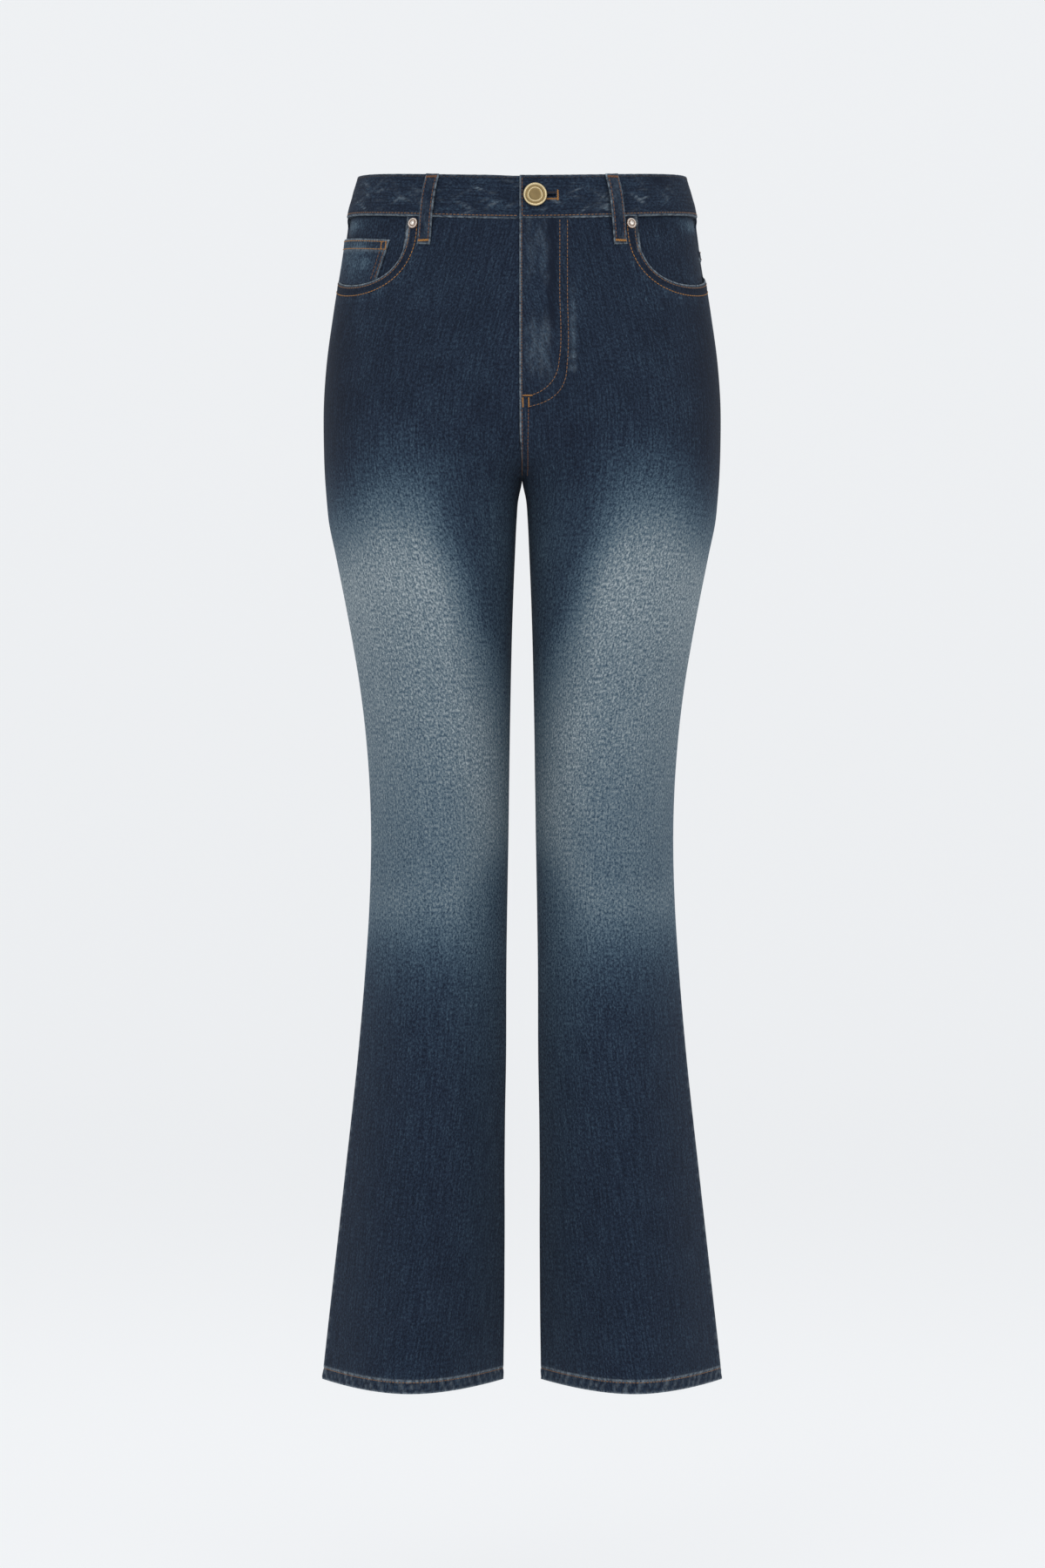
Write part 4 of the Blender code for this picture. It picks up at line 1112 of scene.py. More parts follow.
def back_pocket_surface(side, s, v, across, down):
    """The lift of the back pocket's outer side."""
    plies = PATCH_GAP + DENIM + BACK_POCKET_HEM_RAISE * back_pocket_hem(down)
    bulge = 0.8 * MM * np.sin(math.pi * down) * np.cos(across * math.pi / 2)
    return plies + bulge + creases(side, "back", *seen_at(side, "back", s, v))


def back_pocket(node, side):
    soft = np.array([0, 0.006, 0.015, 0.03])
    across = close_at_ends(-1, 1, soft, np.linspace(-0.95, 0.95, 41))
    soft = np.array([0, 0.004, 0.01, 0.02])
    down = close_at_ends(0, 1, soft, np.linspace(0.035, 0.965, 44))
    across, down = np.meshgrid(across, down)
    s, v = back_pocket_place(across, down)
    beside = (1 - np.abs(across)) * BACK_POCKET_WIDTH / 2
    above_foot = (1 - down) * (BACK_POCKET_HEIGHT - BACK_POCKET_POINT)
    below_top = down * BACK_POCKET_HEIGHT
    edge = np.minimum(np.minimum(beside, above_foot), below_top)
    plies = near(edge - 4 * MM, 4 * MM)
    puckers = 0.2 * MM * plies * wander(beside + below_top, 9 * MM, 41 + side)
    lift = back_pocket_surface(side, s, v, across, down) + puckers - rounded(edge)
    # The wash here holds painted shade on the pocket's outer side.
    fade_and_painted_light = wash_and_painted_light("back", *seen_at(side, "back", s, v)) + 0.06 * back_pocket_hem(down)
    wear = 0.6 * near(edge, 1.1 * MM) + 0.25 * near(below_top - BACK_POCKET_HEM, 1.6 * MM)
    wear = wear + 0.2 * plies * np.maximum(wander(below_top + 2 * beside, 12 * MM, 43), 0)
    outside, inside = (skin(side, "back", s, v, level) for level in (lift, PATCH_GAP))
    uv = np.stack([s * length_at("back", s, v) + BACK_POCKET_UV + side, v], -1)
    shell(node, outside, inside, uv, fade_and_painted_light, wear)


# ================================================================ waistband and loops
BAND_LENGTH = float(length_at("front", 1.0, BAND_HEIGHT / 2))
BAND_TOP_ROW = BAND_HEIGHT - 2.2 * MM
JUST_ABOVE_SEAM = 1e-7


def band_points(t, v, lift):
    """Points on the waist, t round it from the centre front by way of the right outseam at 1,
    the centre back at 2 and the left outseam at 3, to 4."""
    t, v, lift = np.broadcast_arrays(t, v, lift)
    points = np.empty((*t.shape, 3))
    quarter = np.floor(t).astype(int)
    part = t - quarter
    kinds = ((-1, "front"), (-1, "back"), (1, "back"), (1, "front"))
    for k in range(-1, 5):
        here = quarter == k
        if not here.any():
            continue
        side, face = kinds[k % 4]
        s = 1 - part[here] if k % 2 == 0 else part[here]
        points[here] = skin(side, face, s, v[here] + JUST_ABOVE_SEAM, lift[here])
    return points


def band_relief(run, v):
    """The band's crinkles and the grooves of its stitching."""
    rows = near(v - BAND_FOOT_ROW, 1.0 * MM) + near(v - BAND_TOP_ROW, 1.0 * MM)
    middle = smoothstep(v / (6 * MM)) * smoothstep((BAND_HEIGHT - v) / (6 * MM))
    crinkle = wander(run + 0.3 * v, 21 * MM, 51) * wander(v + 0.2 * run, 17 * MM, 52)
    pucker = wander(run - 0.5 * v, 7.5 * MM, 53) * (1 - middle)
    return 0.35 * MM * crinkle * middle + 0.22 * MM * pucker - 0.3 * MM * rows


def band_grid():
    """(run, v) on the band. run goes round the waist from the centre front, below 0 under the
    buttonhole's end, and v is the height on the band."""
    start, end = -BAND_UNDERLAP, 4 * BAND_LENGTH + FLY_LAP
    fine = np.arange(4 * BAND_LENGTH - 30 * MM, end, 1.0 * MM)
    coarse = np.arange(start, fine[0], 3.0 * MM)
    last = end - np.array([1.2, 0.7, 0.35, 0]) * MM
    run = np.concatenate([coarse, fine[fine < last[0]], last])
    soft = np.array([0, 0.25, 0.7, 1.4, 2.3]) * MM
    v = close_at_ends(0, BAND_HEIGHT, soft, np.arange(3.6, 33.5, 1.2) * MM)
    return np.meshgrid(run, v)


def waistband(node):
    run, v = band_grid()
    to_end = run.max() - run
    sink = smoothstep((BAND_DIVE - run) / (BAND_DIVE - 2 * MM))
    rest = BAND_LIFT - (BAND_LIFT + UNDERLAP_DEPTH) * sink
    edge = np.minimum(np.minimum(v, BAND_HEIGHT - v), to_end)
    lift = rest + band_relief(run, v) - 1.3 * rounded(edge)
    outside = band_points(run / BAND_LENGTH, v, lift)
    inside = band_points(run / BAND_LENGTH, v, rest - BAND_WALL)
    cell_v = (v[1:, 1:] + v[:-1, :-1]) / 2
    cell_x = 4 * BAND_LENGTH - (run[1:, 1:] + run[:-1, :-1]) / 2
    in_slot = (np.abs(cell_v - BUTTON_V) < 1.3 * MM) & (cell_x > 8 * MM)
    in_slot = in_slot & (cell_x < BUTTONHOLE_END_X)
    everywhere = (0, 3, 4 * BAND_LENGTH / MM, BAND_HEIGHT / MM - 4)
    scuffs = blotches(run, v, everywhere, 190, (4.5, 0.9), 56, 1.2)
    haze = blotches(run, v, everywhere, 90, (8, 5), 59)
    fade_and_painted_light = 0.05 * wander(run, 90 * MM, 54) * wander(v, 60 * MM, 55)
    fade_and_painted_light = fade_and_painted_light + 0.22 * scuffs * haze + 0.10 * haze
    wear = 0.85 * scuffs * haze + 0.12 * scuffs
    wear = wear + 0.80 * near(v, 1.1 * MM) * (0.7 + 0.3 * wander(run, 9 * MM, 57))
    wear = wear + 0.45 * near(BAND_HEIGHT - v, 1.2 * MM) * (0.6 + 0.4 * wander(run, 12 * MM, 58))
    wear = wear + 0.6 * near(to_end, 1.0 * MM)
    shell(node, outside, inside, np.stack([v + BAND_UV, run], -1), fade_and_painted_light, wear, keep=~in_slot)


LOOP_TOP = BAND_HEIGHT - 0.2 * MM
LOOP_REST = BAND_LIFT + 0.3 * MM
# Heights up a loop, and how far its inner side lies off the skin there
LOOP_PATH = (
    (-LOOP_TAIL, 0.3 * MM),
    (-LOOP_TAIL + 5 * MM, 0.3 * MM),
    (-LOOP_TAIL + 11 * MM, 1.0 * MM),
    (-4 * MM, LOOP_REST + 0.9 * MM),
    (8 * MM, LOOP_REST + 1.8 * MM),
    (18 * MM, LOOP_REST + 2.1 * MM),
    (28 * MM, LOOP_REST + 1.4 * MM),
    (33 * MM, LOOP_REST + 0.2 * MM),
    (LOOP_TOP, LOOP_REST),
)
# The fractions s at the top and the foot of each kind of loop
FRONT_LOOP = (
    s_at_x("front", BAND_HEIGHT - 1 * MM, 73.8 * MM),
    s_at_x("front", -LOOP_TAIL, 81.5 * MM),
)
BACK_LOOP = (0.36, 0.35)
CENTRE_LOOP = (1.0, 1.0)
LOOPS = (
    ("belt_loop_front_left", 1, "front", FRONT_LOOP),
    ("belt_loop_front_right", -1, "front", FRONT_LOOP),
    ("belt_loop_back_left", 1, "back", BACK_LOOP),
    ("belt_loop_back_right", -1, "back", BACK_LOOP),
    ("belt_loop_centre_back", 1, "back", CENTRE_LOOP),
)


def loop_place(face, ends, across, v):
    """s of a place on a loop, across in metres from its middle."""
    top, foot = ends
    middle = foot + (top - foot) * (v + LOOP_TAIL) / (LOOP_TOP + LOOP_TAIL)
    return middle + across / length_at(face, middle, v)


def loop_height(v):
    """The lift of a loop's outer side."""
    return smooth_path(v, *np.array(LOOP_PATH).T) + LOOP_WALL


def belt_loop(node, side, face, ends):
    half = LOOP_WIDTH / 2
    soft = np.array([0, 0.25, 0.6, 1.1]) * MM
    across = close_at_ends(-half, half, soft, np.linspace(1.6 * MM - half, half - 1.6 * MM, 9))
    rows = np.linspace(-LOOP_TAIL + 2 * MM, LOOP_TOP - 2 * MM, 42)
    across, v = np.meshgrid(across, close_at_ends(-LOOP_TAIL, LOOP_TOP, soft, rows))
    s = loop_place(face, ends, across, v)
    beside = half - np.abs(across)
    edge = np.minimum(beside, np.minimum(v + LOOP_TAIL, LOOP_TOP - v))
    seed = 60 + side + 3 * (face == "back")
    at_row = smoothstep((3 * MM - np.abs(np.abs(across) - 4 * MM)) / (3 * MM))
    pucker = 0.18 * MM * wander(v + across, 6 * MM, seed) * at_row
    valley = 0.35 * MM * near(across, 1.6 * MM)
    lift = loop_height(v) - 1.5 * rounded(edge) - valley + pucker
    outside = skin(side, face, s, v, lift)
    inside = skin(side, face, s, v, loop_height(v) - LOOP_WALL)
    box = np.array([-half, -LOOP_TAIL, half, BAND_HEIGHT]) / MM
    scuff = blotches(across, v, box, 10, (4, 6), seed)
    wear = 0.85 * near(beside, 0.9 * MM) * (0.6 + 0.4 * wander(v, 8 * MM, seed + 1))
    wear = wear + 0.10 * scuff + 0.3 * near(LOOP_TOP - v, 1.5 * MM)
    wear = wear + 0.45 * near(v + LOOP_TAIL, 1.2 * MM)
    uv = np.stack([across + LOOP_UV + side, v], -1)
    shell(node, outside, inside, uv, 0.10 * scuff - 0.02, wear)


# ================================================================ sewing
STITCH = 3.2 * MM
STITCH_GAP = 0.55 * MM
THREAD_WIDTH = 0.62 * MM
# A stitch's rings: how far along it each is, its size, and how far it stands above the cloth
STITCH_RINGS = (
    (0.0, 0.45, -0.30),
    (0.16, 0.9, 0.12),
    (0.5, 1.0, 0.30),
    (0.84, 0.9, 0.12),
    (1.0, 0.45, -0.30),
)
STITCH_SIDES = 6
UPRIGHT = math.pi / 2

# How far rows lie from the edge that they follow
MOUTH_ROWS = ((2.6 * MM, "tan"), (9.4 * MM, "orange"))
YOKE_ROWS = (1.8 * MM, 7.6 * MM)
CENTRE_BACK_ROWS = (1.8 * MM, 8.0 * MM)
COIN_TOP_ROWS = (2.0 * MM, 8.6 * MM)
COIN_SIDE_ROWS = (1.8 * MM, 6.4 * MM)
COIN_TACKS = (2.2 * MM, 7.4 * MM)
COIN_LIFT = 0.05 * MM
BACK_POCKET_ROWS = (2.0 * MM, 8.0 * MM)
BACK_POCKET_HEM_ROWS = (3.0 * MM, BACK_POCKET_HEM - 2.5 * MM)
LOOP_ROW = 3.9 * MM

# The rows and bar tacks of the fly, in mm: x towards the wearer's left, and z
FLY_ROWS = (
    (
        (37.2, -30.5),
        (37.2, -90),
        (37.2, -150),
        (35.6, -163),
        (31.5, -172),
        (24.5, -178.5),
        (14, -183.5),
        (5.5, -185.5),
    ),
    (
        (30.9, -30.5),
        (30.9, -90),
        (30.8, -146),
        (29, -156.5),
        (24.8, -165),
        (18, -171.5),
        (11.5, -175),
        (5.5, -176.8),
    ),
)
FLY_EDGE_ROW = ((-0.5, -31), (-0.5, -110), (-0.5, -182))
CROTCH_ROWS = (
    ((-0.4, -187), (-0.4, -210), (-0.1, -238)),
    ((5.4, -187), (5.3, -212), (4.6, -239)),
)
FLY_TACKS = ((4.6, -176.4, 0.0), (0.8, -182, UPRIGHT), (5.6, -182, UPRIGHT))
sewn = {}


def add_stitch(thread_name, start, end, normal, width):
    """One stitch: a short length of thread that dips into the cloth at both ends."""
    vertices, faces = sewn.setdefault(thread_name, ([], []))
    along = end - start
    across = np.cross(along, normal)
    across /= np.linalg.norm(across)
    base = sum(len(part) for part in vertices)
    turn = 2 * math.pi * np.arange(STITCH_SIDES) / STITCH_SIDES
    ring = np.cos(turn)[:, None] * across * 0.5 + np.sin(turn)[:, None] * normal * 0.42
    rings = [
        start + along * share + normal * raised * width + ring * size * width
        for share, size, raised in STITCH_RINGS
    ]
    vertices.append(np.concatenate(rings))
    faces.extend(tube_faces(len(rings), STITCH_SIDES, base))


def sew(thread_name, points, normals, pitch=STITCH, width=THREAD_WIDTH, gap=STITCH_GAP):
    """A row of stitches along a line of points on the cloth."""
    run = run_along(points)
    count = max(1, round(run[-1] / pitch))
    size = run[-1] / count

    def at(distance, numbers):
        return np.array([np.interp(distance, run, numbers[:, k]) for k in range(3)])

    for k in range(count):
        start, end = k * size + gap / 2, (k + 1) * size - gap / 2
        normal = at((start + end) / 2, normals)
        normal = normal / np.linalg.norm(normal)
        add_stitch(thread_name, at(start, points), at(end, points), normal, width)


def sew_on(thread_name, side, face, s, v, lift, **settings):
    place, normal = skin_and_normal(side, face, s, v)
    lift = np.broadcast_to(lift, place.shape[:-1])[:, None]
    sew(thread_name, place + normal * lift, normal, **settings)


def through_points(points, count=60):
    """A smooth line through named points, (x, z) in mm, as two arrays in metres."""
    points = np.array(points, float) * MM
    run = run_along(points)
    at = np.linspace(0, run[-1], count)
    return smooth_path(at, run, points[:, 0]), smooth_path(at, run, points[:, 1])


def place_of(face, x, z):
    """(s, v) of the places on a face, below the waist seam, that lie at x and at height z."""
    s = np.empty(len(x))
    for k in range(len(x)):
        row = LATTICES[face][0][int(round((z[k] - LATTICE_Z[0]) / MM)), :, 0]
        s[k] = np.interp(abs(x[k]), row[::-1], LATTICE_S[::-1])
        if x[k] < 0:
            s[k] = 2 - s[k]
    v = z - SEAM_AT_SIDE_Z
    for _ in range(12):
        slant = smoothstep(1 + v / SLANT_FADES)
        v = z - SEAM_AT_SIDE_Z - slant * (waist_seam_z(face, s) - SEAM_AT_SIDE_Z)
    return s, v


def sew_fly(thread_name, points, **settings):
    """A row on the left front, through named points in mm, x and z."""
    s, v = place_of("front", *through_points(points))
    sew_on(thread_name, 1, "front", s, v, surface(1, "front", s, v), **settings)


def bar_tack(thread_name, side, face, s, v, turn, length, width, lift):
    """Close zigzag stitches that hold an end: length along the turn, in the cloth's plane."""
    place, normal = skin_and_normal(side, face, np.array([s]), np.array([v]))
    place, normal = place[0] + normal[0] * lift, normal[0]
    level = np.cross(normal, (0, 0, 1))
    level /= np.linalg.norm(level)
    upright = np.cross(level, normal)
    along = level * math.cos(turn) + upright * math.sin(turn)
    across = np.cross(normal, along)
    count = max(3, round(length / (0.62 * MM)))
    for k in range(count):
        middle = place + along * length * ((k + 0.5) / count - 0.5)
        lean = along * 0.25 * MM * (1 if k % 2 else -1)
        start = middle - across * width / 2 - lean
        add_stitch(thread_name, start, middle + across * width / 2 + lean, normal, 0.6 * MM)


def sew_fronts():
    for side in (1, -1):
        for inside, thread_name in MOUTH_ROWS:
            arc, v = mouth_line(inside)
            here = (v < -2 * MM) & (arc > 1 * MM)
            s, v = s_from_outseam("front", arc[here], v[here]), v[here]
            sew_on(thread_name, side, "front", s, v, surface(side, "front", s, v))
    for points in FLY_ROWS:
        sew_fly("tan", points)
    sew_fly("tan", FLY_EDGE_ROW, pitch=2.4 * MM, width=0.5 * MM)
    for points in CROTCH_ROWS:
        sew_fly("brown", points)
    for x, z, turn in FLY_TACKS:
        s, v = place_of("front", np.array([x * MM]), np.array([z * MM]))
        raised = float(surface(1, "front", s, v)[0])
        bar_tack("orange", 1, "front", s[0], v[0], turn, 8 * MM, 1.2 * MM, raised)


def sew_seams():
    """The yokes and the hems."""
    for side in (1, -1):
        s = np.linspace(0.035, 0.995, 90)
        for above in YOKE_ROWS:
            v = yoke_v(s) + above
            sew_on("tan", side, "back", s, v, YOKE_RAISE + YOKE_REST - side_dip(s, v))
        for face in ("front", "back"):
            s = np.linspace(0.005, 0.995, 140)
            v = v_of(np.full(140, HEM_Z + HEM_STITCH))
            sew_on("tan", side, face, s, v, surface(side, face, s, v), pitch=3.0 * MM)


def sew_centre_back():
    top_z = float(height("back", 1.0, -1 * MM))
    z = np.linspace(CROTCH_Z + 3 * MM, top_z, 120)
    levels = np.linspace(-240, 0, 400) * MM
    v = np.interp(z, height("back", 1.0, levels), levels)
    for beside in CENTRE_BACK_ROWS:
        s = 1 - beside / length_at("back", 1.0, v)
        on_yoke = v > yoke_v(s)
        lift = np.where(on_yoke, YOKE_REST, surface(1, "back", s, v)) + SEAM_PLY
        lift = lift + yoke_raise(v - yoke_v(s)) * on_yoke
        sew_on("tan", 1, "back", s, v, lift)


def sew_coin_pocket():
    share = np.linspace(0.02, 0.985, 40)
    for below in COIN_TOP_ROWS:
        arc, v = coin_place(share, np.ones_like(share))
        v = v - below
        sew_on("orange", -1, "front", s_from_outseam("front", arc, v), v, COIN_LIFT)
    up = np.linspace(0.04, 0.98, 40)
    for beside in COIN_SIDE_ROWS:
        arc, v = coin_place(np.full_like(up, 1 - beside / COIN_REACH), up)
        sew_on("brown", -1, "front", s_from_outseam("front", arc, v), v, COIN_LIFT)
    for beside in COIN_TACKS:
        arc, v = coin_place(1 - beside / COIN_REACH, 1.0)
        v = float(v) - 5.4 * MM
        s = float(s_from_outseam("front", arc, v))
        bar_tack("orange", -1, "front", s, v, UPRIGHT, 6.5 * MM, 1.3 * MM, COIN_LIFT)


def sew_back_pockets():
    for side in (1, -1):
        rows = [back_pocket_row(inside) for inside in BACK_POCKET_ROWS]
        for below in BACK_POCKET_HEM_ROWS:
            rows.append((np.linspace(-0.97, 0.97, 80), np.full(80, below / BACK_POCKET_HEIGHT)))
        for across, down in rows:
            s, v = back_pocket_place(across, down)
            lift = back_pocket_surface(side, s, v, across, down)
            sew_on("tan", side, "back", s, v, lift)
        lift = PATCH_GAP + DENIM + BACK_POCKET_HEM_RAISE
        for edge in (-0.93, 0.93):
            s, v = back_pocket_place(edge, 0.035)
            bar_tack("orange", side, "back", s, float(v), UPRIGHT, 8 * MM, 1.6 * MM, lift)


def back_pocket_row(inside):
    """(across, down) of a row down one side, along the foot and up the other side."""
    wide = 1 - inside / (BACK_POCKET_WIDTH / 2)
    foot = 1 - inside / (BACK_POCKET_HEIGHT - BACK_POCKET_POINT)
    along_foot = np.linspace(-wide, wide, 81)[1:]
    across = np.concatenate([np.full(60, -wide), along_foot, np.full(59, wide)])
    side = np.linspace(0.01, foot, 60)
    down = np.concatenate([side, np.full(80, foot), side[-2::-1]])
    return across, down


def sew_band_row(thread_name, run, v):
    lift = BAND_LIFT + band_relief(run, v)
    points, above = (band_points(run / BAND_LENGTH, v, lift + more) for more in (0, 1 * MM))
    sew(thread_name, points, (above - points) / MM)


def sew_band():
    end = 4 * BAND_LENGTH
    run = np.linspace(4 * MM, end, 900)
    sew_band_row("tan", run, BAND_FOOT_ROW)
    sew_band_row("dark", run, BAND_TOP_ROW)
    sew_band_row("brown", end, np.linspace(BAND_FOOT_ROW, BAND_TOP_ROW, 30))


def sew_buttonhole():
    """Close stitches round the slot, and the bar at its end."""
    for thread_name, ends in (("dark", (1.4, 3.0)), ("orange", (-2.3, -3.9))):
        for x in np.arange(12, 29, 0.7):
            s = s_at_x("front", BUTTON_V, x * MM)
            v = BUTTON_V + np.array(ends) * MM
            points = skin(1, "front", np.array([s, s]), v, BAND_LIFT)
            above = skin(1, "front", np.array([s, s]), v, BAND_LIFT + 1 * MM)
            normal = (above[0] - points[0]) / MM
            add_stitch(thread_name, points[0], points[1], normal, 0.55 * MM)
    s = s_at_x("front", BUTTON_V, BUTTONHOLE_END_X + 1.4 * MM)
    bar_tack("orange", 1, "front", s, BUTTON_V, UPRIGHT, 8.8 * MM, 1.6 * MM, BAND_LIFT)


def sew_loop(side, face, ends):
    for across in (-LOOP_ROW, LOOP_ROW):
        v = np.linspace(-LOOP_TAIL + 2 * MM, BAND_HEIGHT - 2 * MM, 60)
        s = loop_place(face, ends, across, v)
        sew_on("brown", side, face, s, v, loop_height(v))
    for thread_name, v in (("orange", -LOOP_TAIL + 3.2 * MM), ("brown", BAND_HEIGHT - 3.0 * MM)):
        s = float(loop_place(face, ends, 0.0, v))
        lift = float(loop_height(v))
        bar_tack(thread_name, side, face, s, v, 0.0, LOOP_WIDTH - 1.6 * MM, 2.0 * MM, lift)


def finish_sewing():
    for thread_name, (vertices, faces) in sewn.items():
        name = "topstitching_" + thread_name
        finished(name, np.concatenate(vertices), faces, (THREADS[thread_name],))


# ================================================================ metal and zip
def turned(node, profile, steps, place, finish, hollow, rope):
    """A piece turned about an axis from (radius, height) pairs, in place of the frame's node.
    The metal is dull up to the height named hollow. rope is the number and the depth of the
    notches in a raised ring, its radii from and to, and the height above which it starts."""
    base, axis = place
    across = np.cross(axis, (0, 0, 1))
    across /= np.linalg.norm(across)
    third = np.cross(axis, across)
    angles = np.arange(steps) * 2 * math.pi / steps
    spokes = np.cos(angles)[:, None] * across + np.sin(angles)[:, None] * third
    notches, depth, smallest, largest, foot = rope
    profile = softened(profile)
    vertices, raised = [], []
    for radius, along in profile:
        in_rope = smallest < radius < largest and along > foot
        level = along + depth * in_rope * np.cos(notches * angles)
        raised.append(smoothstep((level - hollow) / (0.35 * MM)))
        vertices.append(base + level[:, None] * axis + spokes * max(radius, 1e-5))
    faces = [face[::-1] for face in tube_faces(len(profile), steps)]
    values = {"raised": np.concatenate(raised)}
    vertices = np.concatenate(vertices)
    obj = finished(node + "_cap", vertices, faces, (finish,), values=values)
    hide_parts(node)


def softened(profile, rounds=2):
    """A profile with its corners cut twice, between its first and last points."""
    points = np.array(profile)
    for _ in range(rounds):
        low = points[:-1] * 0.75 + points[1:] * 0.25
        high = points[:-1] * 0.25 + points[1:] * 0.75
        middle = np.stack([low, high], 1).reshape(-1, 2)
        points = np.concatenate([points[:1], middle[1:-1], points[-1:]])
    return points


def front_axis(side, x, v):
    """The place on the skin of a front at x and v, and the direction out of it."""
    s = s_at_x("front", v, x)
    place, normal = skin_and_normal(side, "front", np.array([s]), np.array([v]))
    return place[0], normal[0]


def waist_button(node):
    back = BAND_LIFT + 1.2 * MM
    r = BUTTON_RADIUS
    profile = (
        (0, -1.1 * MM),
        (1.6 * MM, -1.1 * MM),
        (1.6 * MM, back),
        (r - 1.2 * MM, back),
        (r, back + 0.9 * MM),
        (r - 0.1 * MM, back + 1.9 * MM),
        (r - 0.9 * MM, back + 2.7 * MM),
        (r - 1.7 * MM, back + 2.3 * MM),
        (r - 2.3 * MM, back + 1.7 * MM),
        (6.5 * MM, back + 1.8 * MM),
        (6.0 * MM, back + 2.3 * MM),
        (5.5 * MM, back + 2.3 * MM),
        (5.0 * MM, back + 1.8 * MM),
        (2.0 * MM, back + 1.9 * MM),
        (0, back + 1.95 * MM),
    )
    rim = (32, 0.10 * MM, r - 1.4 * MM, math.inf, back + 2.0 * MM)
    place = front_axis(1, BUTTON_X, BUTTON_V)
    turned(node, profile, 96, place, BRASS, back + 1.95 * MM, rim)


def rivet(node, side):
    r, foot = RIVET_RADIUS, 0.1 * MM
    profile = (
        (0, foot),
        (r - 0.3 * MM, foot),
        (r, foot + 0.4 * MM),
        (r - 0.4 * MM, foot + 1.2 * MM),
        (r - 1.3 * MM, foot + 1.6 * MM),
        (r - 1.9 * MM, foot + 1.1 * MM),
        (2.2 * MM, foot + 1.1 * MM),
        (1.8 * MM, foot + 2.0 * MM),
        (1.0 * MM, foot + 2.4 * MM),
        (0, foot + 2.45 * MM),
    )
    beads = (18, 0.14 * MM, 2.6 * MM, r - 0.6 * MM, foot + 0.8 * MM)
    place = front_axis(side, RIVET_X, RIVET_V)
    turned(node, profile, 72, place, SILVER, foot + 1.2 * MM, beads)


ZIP_DEPTH = DENIM + 0.7 * MM
ZIP_TAPE_WALL = 0.6 * MM
TOOTH_PITCH = 1.4 * MM
TOOTH_STEP_ASIDE = 1.0 * MM
# Outlines in mm, x and z, at a distance in y from the tape's inner side
TOOTH = (
    (-0.1, ((-1.5, -0.5), (1.5, -0.5), (1.5, 0.5), (-1.5, 0.5))),
    (0.9, ((-1.2, -0.35), (1.2, -0.35), (1.2, 0.35), (-1.2, 0.35))),
)
SLIDER_OUTLINE = ((-3.2, 4.5), (3.2, 4.5), (3.0, 0), (2.0, -4.5), (-2.0, -4.5), (-3.0, 0))
SLIDER = ((0.2, SLIDER_OUTLINE), (2.2, SLIDER_OUTLINE))


def add_block(vertices, faces, centre, rings):
    """A block between two rings, each an outline at a distance in y."""
    base, sides = len(vertices), len(rings[0][1])
    for y, outline in rings:
        vertices.extend(centre + np.array([x, y, z]) * MM for x, z in outline)
    index = base + np.arange(2 * sides).reshape(2, sides)
    after = np.roll(index, -1, axis=1)
    faces += [index[0].tolist(), index[1, ::-1].tolist()]
    faces += np.stack([index[0], index[1], after[1], after[0]], -1).tolist()


def zip_in_fly(node):
    """The closed zip: its tape, two rows of teeth that lock in turn, and its slider."""
    levels = np.linspace(v_of(FLY_BOTTOM_Z + 8 * MM), -0.5 * MM, 60)
    xs = np.linspace(-ZIP_WIDTH / 2, ZIP_WIDTH / 2, 13)
    s = np.array([[s_at_x("front", level, abs(x)) for x in xs] for level in levels])
    s = np.where(xs < 0, 2 - s, s)
    v = np.broadcast_to(levels[:, None], s.shape)
    outside = skin(1, "front", s, v, -ZIP_DEPTH)
    inside = skin(1, "front", s, v, -ZIP_DEPTH - ZIP_TAPE_WALL)
    uv = np.stack([np.broadcast_to(xs, s.shape), v], -1)
    shell(node, outside, inside, uv, look=TAPE, ending="_tape")
    middle = inside[:, len(xs) // 2]
    run = run_along(middle)

    def up_to(distance):
        return np.array([np.interp(distance, run, middle[:, axis]) for axis in range(3)])

    vertices, faces = [], []
    for k, distance in enumerate(np.arange(2 * MM, run[-1] - 8 * MM, TOOTH_PITCH)):
        aside = TOOTH_STEP_ASIDE * (1 if k % 2 else -1)
        add_block(vertices, faces, up_to(distance) + np.array([aside, 0, 0]), TOOTH)
    add_block(vertices, faces, up_to(run[-1] - 5 * MM), SLIDER)
    finished("zip_teeth_and_slider", vertices, faces, (ZIP_METAL,))


# ================================================================ the whole garment
def dress():
    for side, word in ((1, "left"), (-1, "right")):
        front_panel(f"front_{word}", side)
        back_panel(f"back_{word}", side)
        yoke(f"yoke_{word}", side)
        pocket_facing(f"pocket_facing_{word}", side)
        back_pocket(f"back_pocket_{word}", side)
        rivet(f"rivet_{word}", side)
    coin_pocket("coin_pocket")
    waistband("waistband")
    for name, side, face, ends in LOOPS:
        belt_loop(name, side, face, ends)
    waist_button("waist_button")
    zip_in_fly("fly_zip")
    sew_fronts()
    sew_seams()
    sew_centre_back()
    sew_coin_pocket()
    sew_back_pockets()
    sew_band()
    sew_buttonhole()
    for name, side, face, ends in LOOPS:
        sew_loop(side, face, ends)
    finish_sewing()


# ================================================================ stage, light and camera
FLOOR_Z = -1.2
FLOOR_RADIUS = 6.0
BEND_RADIUS = 3.0
WALL_TOP_Z = 3.2
STAGE_SIDES = 96
STAGE_GLOW = 0.66
WORLD_STRENGTH = 0.57
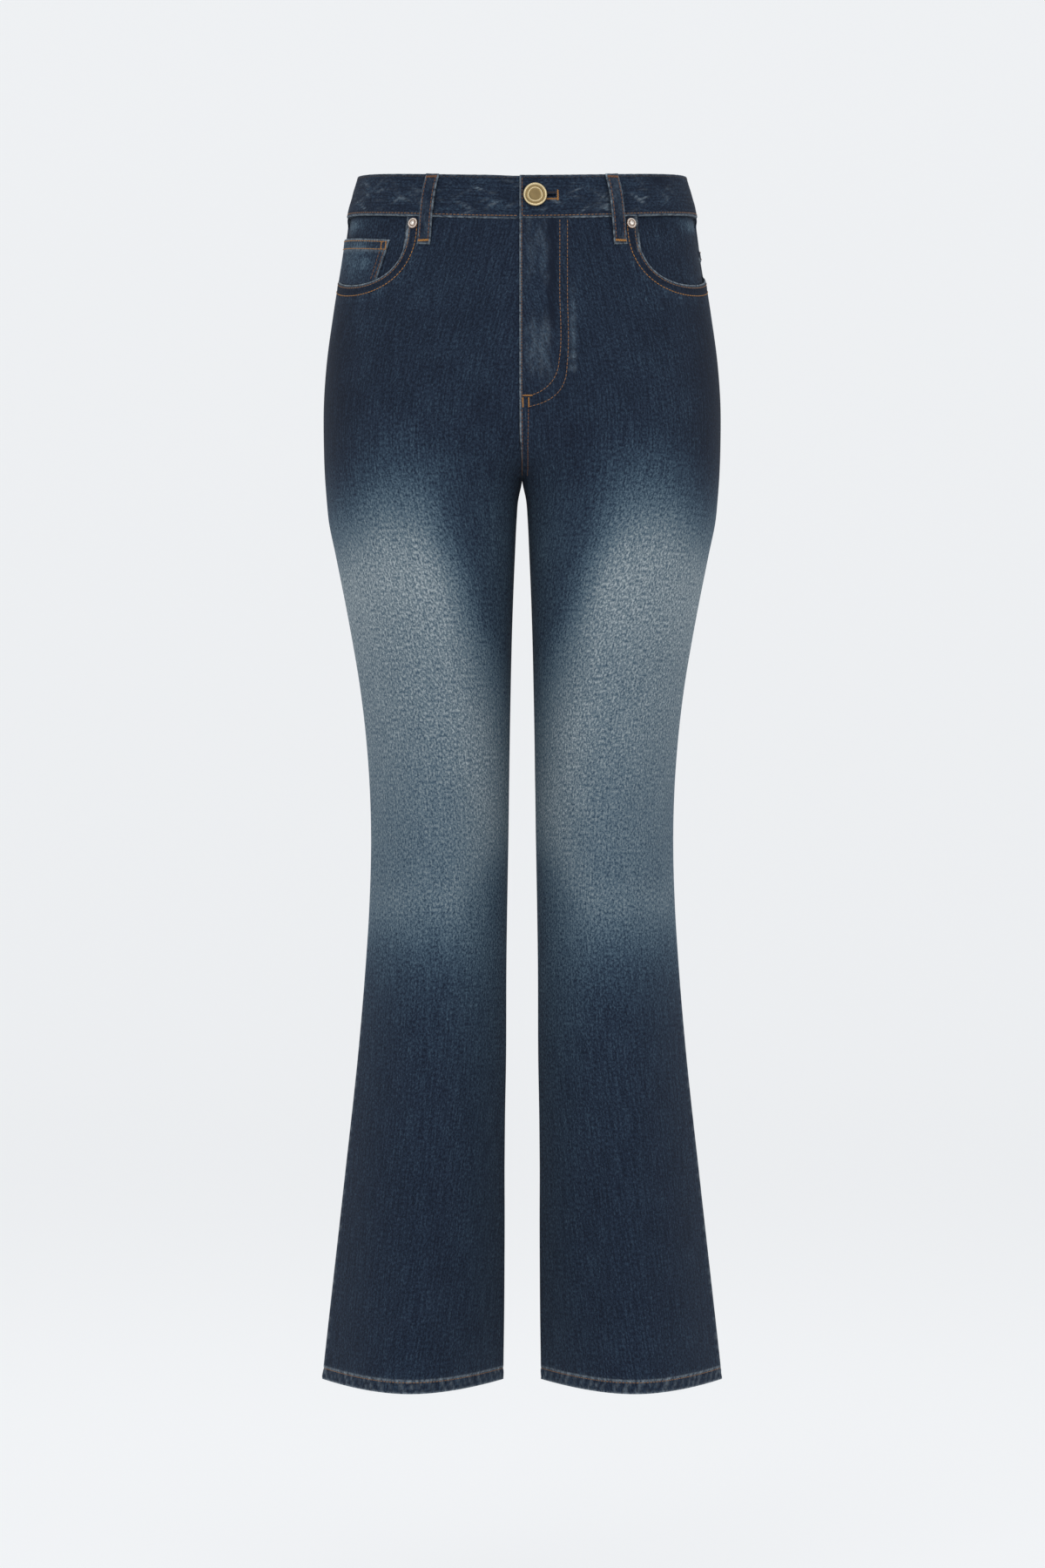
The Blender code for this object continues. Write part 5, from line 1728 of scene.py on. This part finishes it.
# Each light's name, place, target, width and height, and power
LIGHTS = (
    ("key", (-1.5, -3.2, 1.0), (0, 0, -0.4), (2.0, 2.0), 22),
    ("fill", (2.2, -2.6, 0.1), (0, 0, -0.5), (1.6, 1.8), 10),
    ("top", (0.0, -0.6, 1.9), (0, 0, -0.4), (1.8, 1.2), 10),
    ("back", (0.0, 1.2, 1.2), (0, 0, -0.4), (2.4, 1.0), 8),
)
CAMERA_PLACE = (0, -3.4, -0.497)
CAMERA_LENS = 91.8
CAMERA_SENSOR = 36
CAMERA_SHIFT_PIXELS = 0.4
PHOTO_HEIGHT_PIXELS = 1800


def round_stage():
    """A pale round floor that turns up into a pale wall, the same from every side."""
    bend = [
        (FLOOR_RADIUS + BEND_RADIUS * math.sin(a), FLOOR_Z + BEND_RADIUS * (1 - math.cos(a)))
        for a in np.linspace(0, math.pi / 2, 17)
    ]
    flat = [(radius, FLOOR_Z) for radius in (0.01, 2.0, 4.0)]
    profile = flat + bend + [(FLOOR_RADIUS + BEND_RADIUS, WALL_TOP_Z)]
    turns = np.arange(STAGE_SIDES) * 2 * math.pi / STAGE_SIDES
    vertices = [(r * math.cos(a), r * math.sin(a), z) for r, z in profile for a in turns]
    index = np.arange(len(vertices)).reshape(len(profile), -1)
    looped = np.concatenate([index, index[:, :1]], axis=1)
    faces = grid_quads(looped)[:, ::-1].tolist() + [index[0].tolist()]
    mesh = bpy.data.meshes.new("round_stage")
    mesh.from_pydata(vertices, [], faces)
    mesh.shade_smooth()
    obj = bpy.data.objects.new("round_stage", mesh)
    bpy.context.scene.collection.objects.link(obj)
    made = Nodes("pale_stage")
    made.finish((0.30, 0.305, 0.31, 1), 1.0, specular=0.0)
    glow = {"Emission Color": (0.972, 0.985, 1.0, 1), "Emission Strength": STAGE_GLOW}
    made.set(made.shader, glow)
    mesh.materials.append(made.material)


def area_light(name, place, target, size, power):
    data = bpy.data.lights.new(name, "AREA")
    data.shape = "RECTANGLE"
    data.size, data.size_y = size
    data.energy = power
    light = bpy.data.objects.new(name, data)
    light.location = place
    away = mathutils.Vector(place) - mathutils.Vector(target)
    light.rotation_euler = away.to_track_quat("Z", "Y").to_euler()
    light.visible_camera = False
    bpy.context.scene.collection.objects.link(light)


def light():
    world = bpy.data.worlds.new("pale_surroundings")
    world.use_nodes = True
    background = world.node_tree.nodes["Background"]
    background.inputs["Color"].default_value = (0.93, 0.96, 1.0, 1)
    background.inputs["Strength"].default_value = WORLD_STRENGTH
    bpy.context.scene.world = world
    for settings in LIGHTS:
        area_light(*settings)


def camera():
    data = bpy.data.cameras.new("camera")
    data.lens = CAMERA_LENS
    data.sensor_width = CAMERA_SENSOR
    data.shift_x = CAMERA_SHIFT_PIXELS / PHOTO_HEIGHT_PIXELS
    obj = bpy.data.objects.new("camera", data)
    obj.location = CAMERA_PLACE
    obj.rotation_euler = (math.pi / 2, 0, 0)
    bpy.context.scene.collection.objects.link(obj)
    bpy.context.scene.camera = obj


dress()
round_stage()
light()
camera()
bpy.context.scene.view_settings.view_transform = "Standard"
